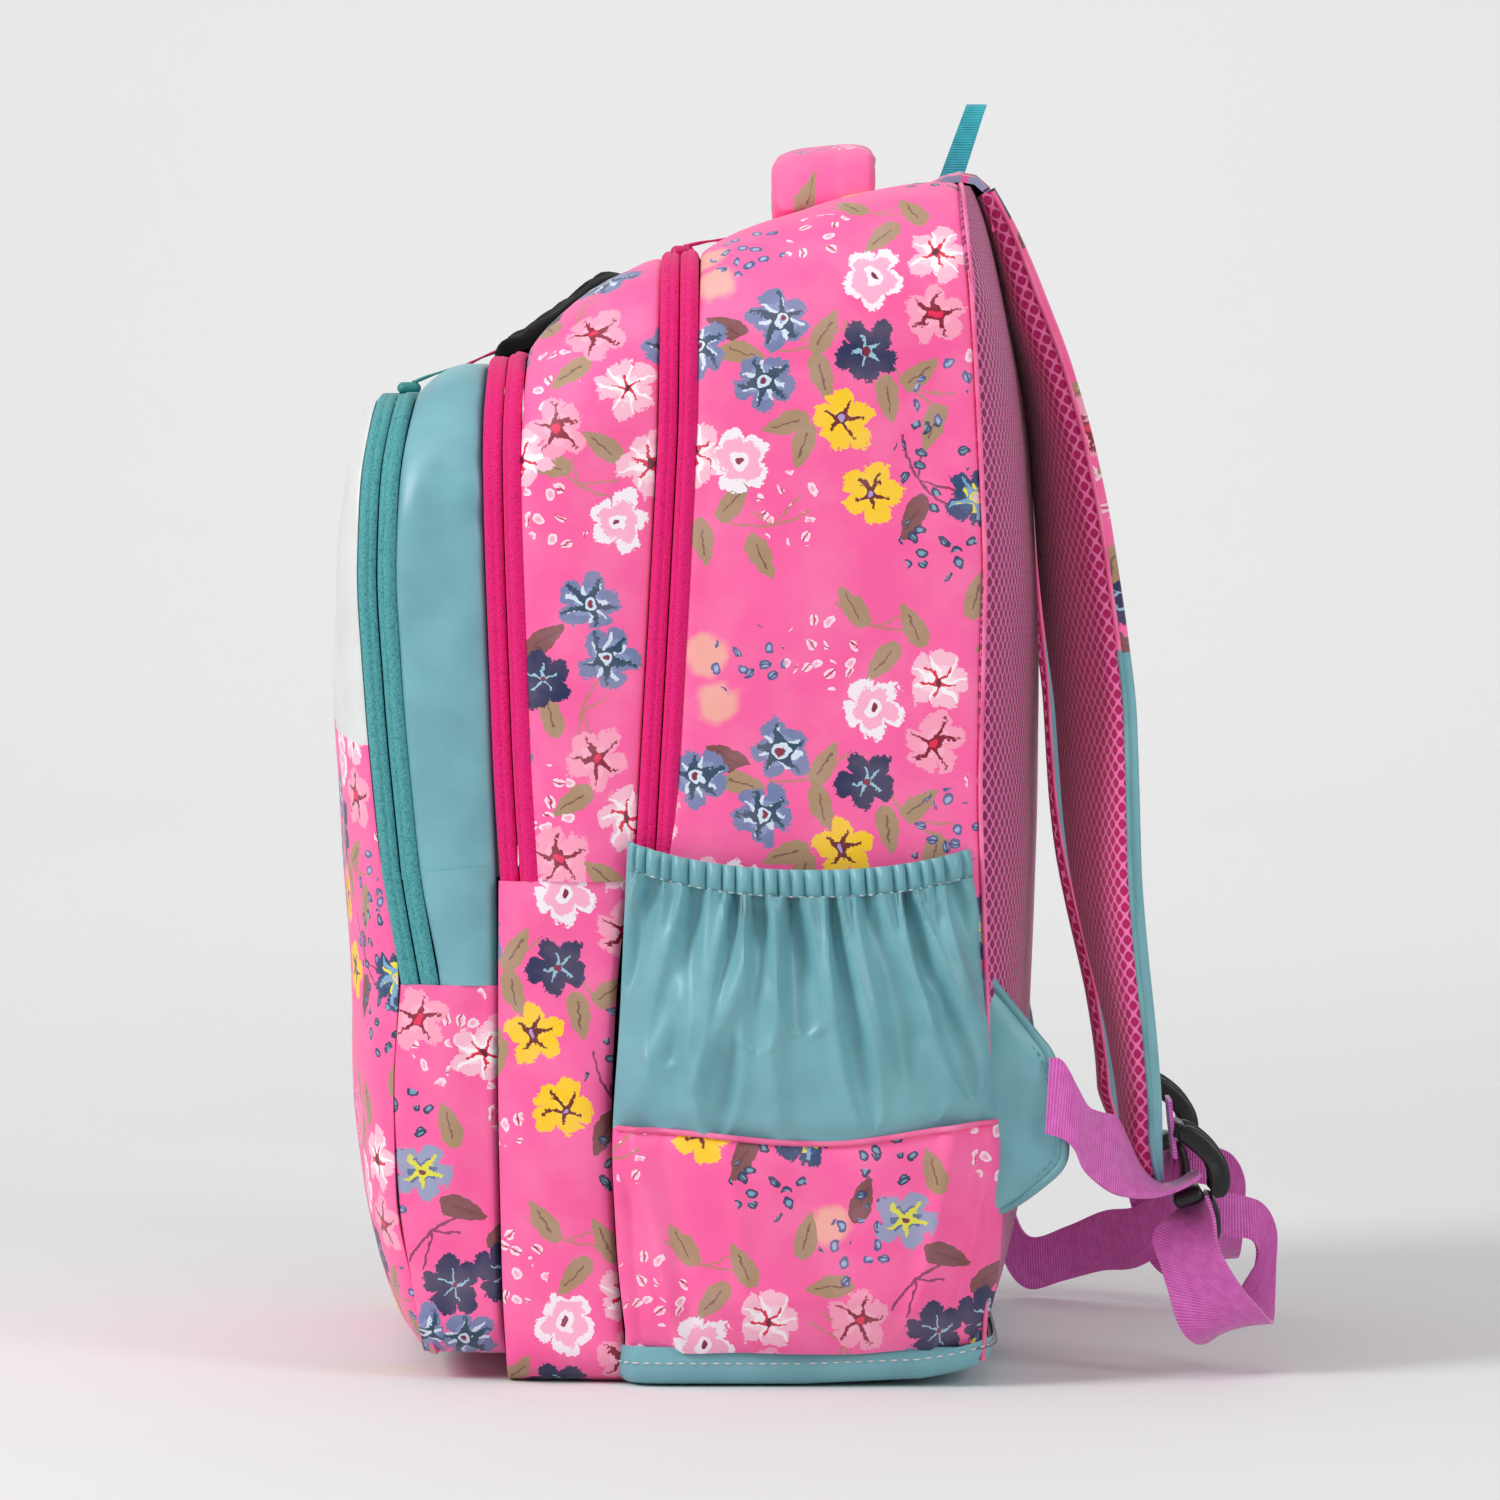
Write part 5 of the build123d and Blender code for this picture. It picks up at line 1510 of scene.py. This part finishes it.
# a taped strip across the top, just in front of the straps, and the panel that the straps are sewn under
tape_x = np.linspace(-TAPE_HALF, TAPE_HALF, 60)
tape_fall = (abs(tape_x) / TAPE_HALF) ** 6
tape_rows = ((66.5, -1.0), (67.5, 0.7), (73.0, 1.6), (80.0, 1.8), (86.0, 1.2), (88.0, -0.4))
tape_grid = np.stack([np.stack([tape_x, np.full(60, y), top_height(y) - 1.2 + lift - 1.5 * tape_fall], 1)
                      for y, lift in tape_rows], 1)
top_tape = slab("top_tape", tape_grid, "dark_teal", tape_grid[:, :, :2], 2.2, outward=(0, 0, 1))
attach(top_tape, "bag")
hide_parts("strap_yoke")
yoke_rows = ((83.0, 435.5), (85.0, 438.0), (90.0, 440.6), (96.0, 441.6), (102.0, 440.4), (107.0, 436.0),
             (109.5, 429.0), (110.0, 421.0))
yoke_grid = np.stack([np.stack([tape_x, np.full(60, y), z - tape_fall +
                                0.6 * np.sin(tape_x / 9.0) * (1.0 if y > 90 else 0.3)], 1)
                      for y, z in yoke_rows], 1)
yoke = slab("strap_yoke_piece", yoke_grid, "print", yoke_grid[:, :, :2] + 40.0, 2.6, outward=(0, 0.4, 1))
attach(yoke, "bag")


def ribbon_loop():
    """A narrow ribbon doubled into a loop, sewn in at the top edge and leaning back."""
    rise = smooth_path([(-4.6, 438), (-4.4, 446), (-4.1, 455), (-2.6, 461.5), (0, 463.4), (2.6, 461.5),
                        (4.1, 455), (4.4, 446), (4.6, 438)], 60)
    rise[:, 1] += 6.0 * np.clip((rise[:, 1] - 438.0) / 25.0, 0, 1)
    lean = (rise[:, 1] - 440.0) * 0.4
    twist = 0.10 * (rise[:, 1] - 440.0)
    low = np.stack([rise[:, 0], 89.5 + lean - 0.3 * twist, rise[:, 1]], 1)
    high = np.stack([rise[:, 0], 98.6 + lean * 1.02 - 0.9 * twist, rise[:, 1]], 1)
    return strip("hang_loop_piece", low, high, "ribbon", 60, 6, 1.0)


loop = ribbon_loop()
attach(loop, "ribbon_loop")
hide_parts("hang_loop")

# ---- badge on the second compartment's slope: a blank moulded strip --------------------------


def badge_form():
    """A strip with a soft, unlettered relief, lying on the slope."""
    rows, cols = 50, 26
    half_x, long_y = 37.0, 50.0
    x = np.linspace(-half_x, half_x, rows)
    t = np.linspace(0, 1, cols)
    y = -78.0 + long_y * t
    ends = np.abs(2 * t - 1)
    base_z = np.interp(y, [-78.0, -63.0, -28.0], [371.5, 376.0, 403.0])
    grid = np.zeros((rows, cols, 3))
    draw = random.Random(7)
    knobs = [(draw.uniform(-30, 30), draw.uniform(0.1, 0.9), draw.uniform(0.6, 1.8), draw.uniform(4, 8))
             for _ in range(26)]
    for i, px in enumerate(x):
        rise = 5.6 * (1 - abs(px / half_x) ** 8) * (1 - ends ** 8)
        for kx, kt, kh, kr in knobs:
            near = np.exp(-(((px - kx) / kr) ** 2 + ((t - kt) * long_y / kr) ** 2))
            rise = rise + kh * near * (1 - ends ** 6)
        grid[i, :, 0] = px
        grid[i, :, 1] = y - 0.55 * rise
        grid[i, :, 2] = base_z + 0.85 * rise + 1.2
    return slab("badge_piece", grid, "rubber", grid[:, :, :2], 1.8, outward=(0, -0.6, 1))


badge = badge_form()
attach(badge, "second_section")
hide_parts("badge")

# ---- shoulder straps -------------------------------------------------------------------------
# the strap's outer face from the side, its tilt in degrees and its two edges, all by height
STRAP_OUT = line([(171.0, 68), (171.2, 76), (171.0, 101), (169.0, 128), (166.3, 155), (164.2, 182),
                  (163.5, 216), (162.6, 248), (158.6, 280), (153.2, 316), (146.6, 346), (137.4, 376),
                  (126.0, 404), (116.5, 424), (109.0, 436)], 6.0)
STRAP_TILT = line([(9, 60), (9, 100), (10, 130), (14, 165), (17, 205), (18.5, 250), (18, 280), (15, 325),
                   (8, 380), (0, 440)], 12.0)
STRAP_X_IN = line([(93, 60), (92, 76), (86, 110), (67, 200), (48, 300), (30, 380), (24, 440)], 12.0)
STRAP_X_OUT = line([(118, 60), (124, 76), (134, 110), (135, 200), (118, 300), (98, 380), (92, 440)], 12.0)
COVER_SPLIT_Z = 266.0
STRAP_THICK = 15.0
STRAP_TIP_Z = 70.5
COVER_SHARE = line([(0.40, 60), (0.46, 120), (0.52, 200), (0.50, 300), (0.38, 370), (0.34, 440)], 12.0)


def strap_section(z):
    """Width, tilt, thickness and outer x of the strap at a height."""
    x_in, x_out = STRAP_X_IN(z), STRAP_X_OUT(z)
    tip = np.clip((z - STRAP_TIP_Z) / 16.0, 0, 1)
    wide = (x_out - x_in) * (0.72 + 0.28 * math.sqrt(1 - (1 - tip) ** 2))
    thick = STRAP_THICK * (0.35 + 0.65 * math.sqrt(tip)) * (1.0 - 0.5 * np.clip((z - 395.0) / 40.0, 0, 1))
    return wide, math.radians(STRAP_TILT(z)), thick, x_out - (x_out - x_in - wide) / 2


def strap_rings(side, low, high, part, rows):
    """Cross-sections of the strap between two heights. part is the mesh side or the cover."""
    z_mid = np.linspace(high, low, rows)
    y_line = STRAP_OUT(z_mid)
    slope = np.gradient(y_line) / np.gradient(z_mid)
    rings, cloth = [], []
    count = 44
    walk = np.concatenate([[0], np.cumsum(np.hypot(np.diff(y_line), np.diff(z_mid)))])
    for i, z in enumerate(z_mid):
        wide, tilt, thick, x_out = strap_section(z)
        cover = COVER_SHARE(z)
        angle = np.linspace(0, math.pi, count // 2)
        across = np.concatenate([np.cos(angle), np.cos(angle)[::-1][1:-1]])
        body = np.concatenate([np.sin(angle) ** 0.36, np.zeros(count // 2 - 2)])
        share = (1 - across) / 2
        if part == "mesh":
            reach = (1 - cover) * thick * (1 - 0.4 * share) + 0.5 * math.sin(z / 21.0)
            depth = -reach * body
        else:
            depth = cover * thick * body
        depth = depth - thick * cover
        drop = wide * math.sin(tilt) * (1.35 * share - 0.35 * share ** 2)
        x = side * (x_out - share * wide * math.cos(tilt))
        y = y_line[i] - drop + depth * math.cos(tilt)
        rings.append(np.stack([x, y, z - depth * slope[i] * 0.9], 1))
        cloth.append(np.stack([60 - share * wide + depth * 0.8 * (1 - body * share),
                               np.full(len(x), walk[i])], 1))
    return rings, cloth


def strap_edge(side, low, high, lateral):
    """The seam between the strap's mesh and its cover."""
    out = []
    for z in np.linspace(high, low, 70):
        wide, tilt, thick, x_out = strap_section(z)
        share = 0.0 if lateral else 1.0
        y = STRAP_OUT(z) - share * wide * math.sin(tilt) - thick * COVER_SHARE(z) * math.cos(tilt)
        out.append((side * (x_out - share * wide * math.cos(tilt)), y, z))
    return np.array(out)


for side, word in SIDES:
    body = f"strap_{word}"
    rings, cloth = strap_rings(side, STRAP_TIP_Z, 436.0, "mesh", 130)
    pad = loft(f"strap_mesh_{word}", rings, "strap_mesh", cloth)
    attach(pad, body)
    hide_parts(f"strap_pad_{word}")
    rings, cloth = strap_rings(side, COVER_SPLIT_Z, 436.0, "cover", 70)
    cloth = [c + (118.0 if side > 0 else 30.0, -60.0) for c in cloth]
    upper = loft(f"strap_print_piece_{word}", rings, "print", cloth)
    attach(upper, body)
    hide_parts(f"strap_print_{word}")
    rings, cloth = strap_rings(side, STRAP_TIP_Z, COVER_SPLIT_Z, "cover", 70)
    lower = loft(f"strap_plain_piece_{word}", rings, "teal", cloth)
    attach(lower, body)
    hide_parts(f"strap_plain_{word}")
    for lateral, spot in ((True, "outer"), (False, "inner")):
        path = strap_edge(side, COVER_SPLIT_Z, 434.0, lateral)
        above = tube(f"strap_binding_print_{spot}_{word}", path, 0.9, "pink_piping")
        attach(above, body)
        path = strap_edge(side, STRAP_TIP_Z + 1.0, COVER_SPLIT_Z, lateral)
        below = tube(f"strap_binding_plain_{spot}_{word}", path, 1.0 if lateral else 0.7,
                     "teal_binding" if lateral else "pink_piping")
        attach(below, body)

# ---- buckles, webbing and tails --------------------------------------------------------------
def bent_bar(name, path, thick, x_low, x_high, side):
    """A moulded plastic bar: bent along path, given as (y, z), from x_low to x_high wide."""
    count = 26
    path = smooth_path(path, count)
    ahead = np.gradient(path, axis=0)
    ahead /= np.linalg.norm(ahead, axis=1, keepdims=True)
    outline = superellipse(28, 3.4)
    rings = []
    for t, (y, z), (ay, az) in zip(np.linspace(-1, 1, count), path, ahead):
        scale = (1 - abs(t) ** 7) ** 0.5 * 0.92 + 0.08
        off = outline[:, 1] * thick / 2 * scale
        x = (x_low + x_high) / 2 + outline[:, 0] * (x_high - x_low) / 2 * (0.85 + 0.15 * scale)
        rings.append(np.stack([side * x, y - az * off, z + ay * off], 1))
    return loft(name, rings, "black")


# the buckle's side rails, as (y, z)
RAIL = [(175.2, 90.5), (180.0, 87.5), (185.5, 83.0), (189.4, 77.5), (190.6, 71.0), (189.0, 65.5)]
LEVER = [(186.0, 66.5), (188.4, 61.0), (189.4, 55.0), (189.2, 49.4)]
KEEPER = [(184.5, 67.0), (179.0, 65.2), (173.6, 63.6)]
for side, word in SIDES:
    parts = [bent_bar("rail_a", RAIL, 7.6, 118.5, 123.0, side),
             bent_bar("rail_b", RAIL, 7.6, 93.0, 97.5, side)]
    for k, (y, z) in enumerate(RAIL[::2]):
        path = [(y - 0.6, z - 3.2), (y, z), (y + 0.8, z + 2.4)]
        parts.append(bent_bar(f"bar_{k}", path, 4.4, 94.0, 122.0, side))
    parts.append(bent_bar("lever", LEVER, 4.0, 97.0, 121.0, side))
    parts.append(bent_bar("keeper", KEEPER, 7.0, 97.0, 121.0, side))
    buckle = joined(f"buckle_piece_{word}", parts)
    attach(buckle, f"buckle_{word}")
    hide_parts(f"buckle_{word}")

for side, word in SIDES:
    edges = [[(side * x, y, z) for y, z in ((171.4, 101), (172.2, 92), (173.6, 79.6))] for x in (120.5, 95.5)]
    tip = strip(f"tip_webbing_piece_{word}", edges[0], edges[1], "webbing", 14, 8, 1.5)
    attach(tip, f"strap_{word}")
    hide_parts(f"tip_webbing_{word}")

# the lower webbing of each strap, from the wing to the buckle: its upper and lower edge, point by point
RIGHT_TOP = [(153.0, 127.0, 119.5), (153.8, 131.5, 118.5), (152.0, 136.3, 108.5), (148.0, 140.0, 101.5),
             (141.0, 145.0, 98.5), (134.0, 151.0, 96.0), (126.0, 156.0, 86.0), (116.0, 162.0, 74.5),
             (108.0, 169.0, 68.5), (105.0, 177.0, 70.0), (104.0, 183.0, 74.0)]
RIGHT_LOW = [(153.4, 125.5, 92.0), (154.6, 131.5, 90.2), (154.6, 135.8, 86.0), (153.0, 139.6, 78.0),
             (150.0, 148.7, 70.3), (145.0, 157.5, 67.6), (139.0, 166.3, 67.2), (131.0, 175.0, 68.9),
             (125.0, 182.0, 72.0), (122.0, 184.0, 74.0)]
LEFT_TOP = [(-152.0, 118.0, 86.0), (-151.5, 119.0, 62.0), (-151.0, 123.0, 38.0), (-148.0, 130.0, 24.0),
            (-140.0, 145.0, 29.0), (-130.0, 159.0, 36.0), (-120.0, 172.0, 39.0), (-110.0, 183.0, 50.0),
            (-107.0, 185.0, 66.0)]
LEFT_LOW = [(-152.6, 116.0, 62.0), (-153.0, 115.0, 38.0), (-152.5, 120.0, 14.0), (-149.0, 129.5, 3.0),
            (-142.0, 144.0, 7.0), (-132.0, 159.0, 12.0), (-121.0, 172.0, 14.5), (-112.0, 184.0, 25.0),
            (-107.5, 187.5, 44.0)]
for word, side, top, low in (("right", 1, RIGHT_TOP, RIGHT_LOW), ("left", -1, LEFT_TOP, LEFT_LOW)):
    web = strip(f"lower_webbing_piece_{word}", top, low, "webbing", 90, 8, 1.4)
    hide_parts(f"lower_webbing_{word}")
    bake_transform(web, "bag", f"strap_{word}", start=(0, 0.134, 0), end=(0, 0.166, 0))


# The free tail leaves the buckle, turns to face the side, folds on the floor and comes back to the buckle:
# its two edges, point by point
TAIL_A = [(97.0, 184.0, 67.0), (106.0, 176.0, 60.5), (119.0, 166.0, 52.0), (124.0, 168.5, 41.0),
          (126.0, 171.5, 31.0), (126.0, 174.5, 21.0), (123.0, 178.5, 14.0), (116.0, 184.0, 10.8),
          (108.0, 189.5, 12.5), (102.0, 194.5, 18.5), (99.0, 200.0, 28.0), (98.0, 204.5, 38.0),
          (99.0, 204.0, 47.0), (101.0, 195.0, 49.5), (104.0, 185.0, 51.0)]
TAIL_B = [(121.0, 185.0, 66.0), (125.0, 187.5, 58.0), (128.0, 189.0, 48.0), (129.5, 193.5, 39.5),
          (129.0, 199.0, 31.5), (127.0, 204.5, 25.0), (122.0, 208.5, 20.0), (115.0, 210.5, 18.5),
          (108.0, 211.5, 21.0), (102.0, 212.0, 27.0), (98.0, 212.5, 38.0), (97.0, 212.5, 52.0),
          (98.0, 207.0, 61.5), (101.0, 196.0, 65.0), (104.0, 186.0, 66.5)]
for side, word in SIDES:
    edges = [[(side * x, y, z) for x, y, z in edge] for edge in (TAIL_A, TAIL_B)]
    tail = strip(f"tail_loop_piece_{word}", edges[0], edges[1], "webbing", 110, 9, 1.4)
    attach(tail, f"buckle_{word}")
    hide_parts(f"tail_loop_{word}")


# ---- camera, light and floor -----------------------------------------------------------------
def studio():
    """A paper floor that bends up into a backdrop."""
    floor_me = bpy.data.meshes.new("studio_floor")
    wide, bend_from, bend_radius = 9.0, 4.0, 1.2
    points, faces = [], []
    rows = [(-wide, -0.0004), (bend_from, -0.0004)]
    for a in np.linspace(0.1, math.pi / 2, 12):
        rows.append((bend_from + math.sin(a) * bend_radius, bend_radius - math.cos(a) * bend_radius))
    rows.append((bend_from + bend_radius, 6.0))
    for d, h in rows:
        points += [(-d, -wide, h), (-d, wide, h)]
    for i in range(len(rows) - 1):
        faces.append([2 * i, 2 * i + 1, 2 * i + 3, 2 * i + 2])
    floor_me.from_pydata(points, [], faces)
    floor_me.shade_smooth()
    floor = bpy.data.objects.new("studio_floor", floor_me)
    bpy.context.scene.collection.objects.link(floor)
    g = Graph("studio_paper")
    where = g.node("ShaderNodeTexCoord").outputs["Object"]
    speckle = g.noise(where, 3.0)
    far = g.step(g.split(where)[0], -0.4, -4.6)
    colour = g.mix(far, g.mix(speckle, rgb(230, 230, 231), rgb(233, 233, 233)), rgb(252, 252, 252))
    g.done(colour, 0.9)
    floor_me.materials.append(g.material)


def area_light(name, place, target, size, power):
    light = bpy.data.lights.new(name, "AREA")
    light.shape = "RECTANGLE"
    light.size, light.size_y = size
    light.energy = power
    lamp = bpy.data.objects.new(name, light)
    lamp.location = place
    lamp.rotation_euler = (Vector(target) - Vector(place)).to_track_quat("-Z", "Y").to_euler()
    bpy.context.scene.collection.objects.link(lamp)


studio()
world = bpy.data.worlds.new("studio_world")
world.use_nodes = True
world.node_tree.nodes["Background"].inputs[0].default_value = (1.0, 1.0, 1.0, 1.0)
world.node_tree.nodes["Background"].inputs[1].default_value = 0.38
bpy.context.scene.world = world
area_light("key", (1.2, -2.1, 1.75), (0, 0, 0.2), (0.8, 1.2), 48.0)
area_light("fill", (1.7, 1.7, 1.2), (0, 0, 0.2), (0.8, 1.2), 15.5)
area_light("top", (0.2, 0.0, 2.3), (0, 0, 0.2), (1.8, 1.8), 9.0)
area_light("backdrop", (-3.1, 0.0, 2.6), (-4.4, 0, 0.2), (3.2, 4.4), 36.0)

# The camera stands off the right side, level, and looks straight across the bag.
CAMERA_AT = (3.152, 0.0183, 0.360)
CAMERA_LENS = 199.2
CAMERA_TILT = math.degrees(math.atan2(0.1290, 3.0))
camera_data = bpy.data.cameras.new("camera")
camera_data.lens = CAMERA_LENS
camera_data.sensor_width = 36.0
camera = bpy.data.objects.new("camera", camera_data)
camera.location = CAMERA_AT
camera.rotation_euler = (math.radians(90.0 - CAMERA_TILT), 0.0, math.radians(90.0))
bpy.context.scene.collection.objects.link(camera)
bpy.context.scene.camera = camera
bpy.context.scene.view_settings.view_transform = "Standard"
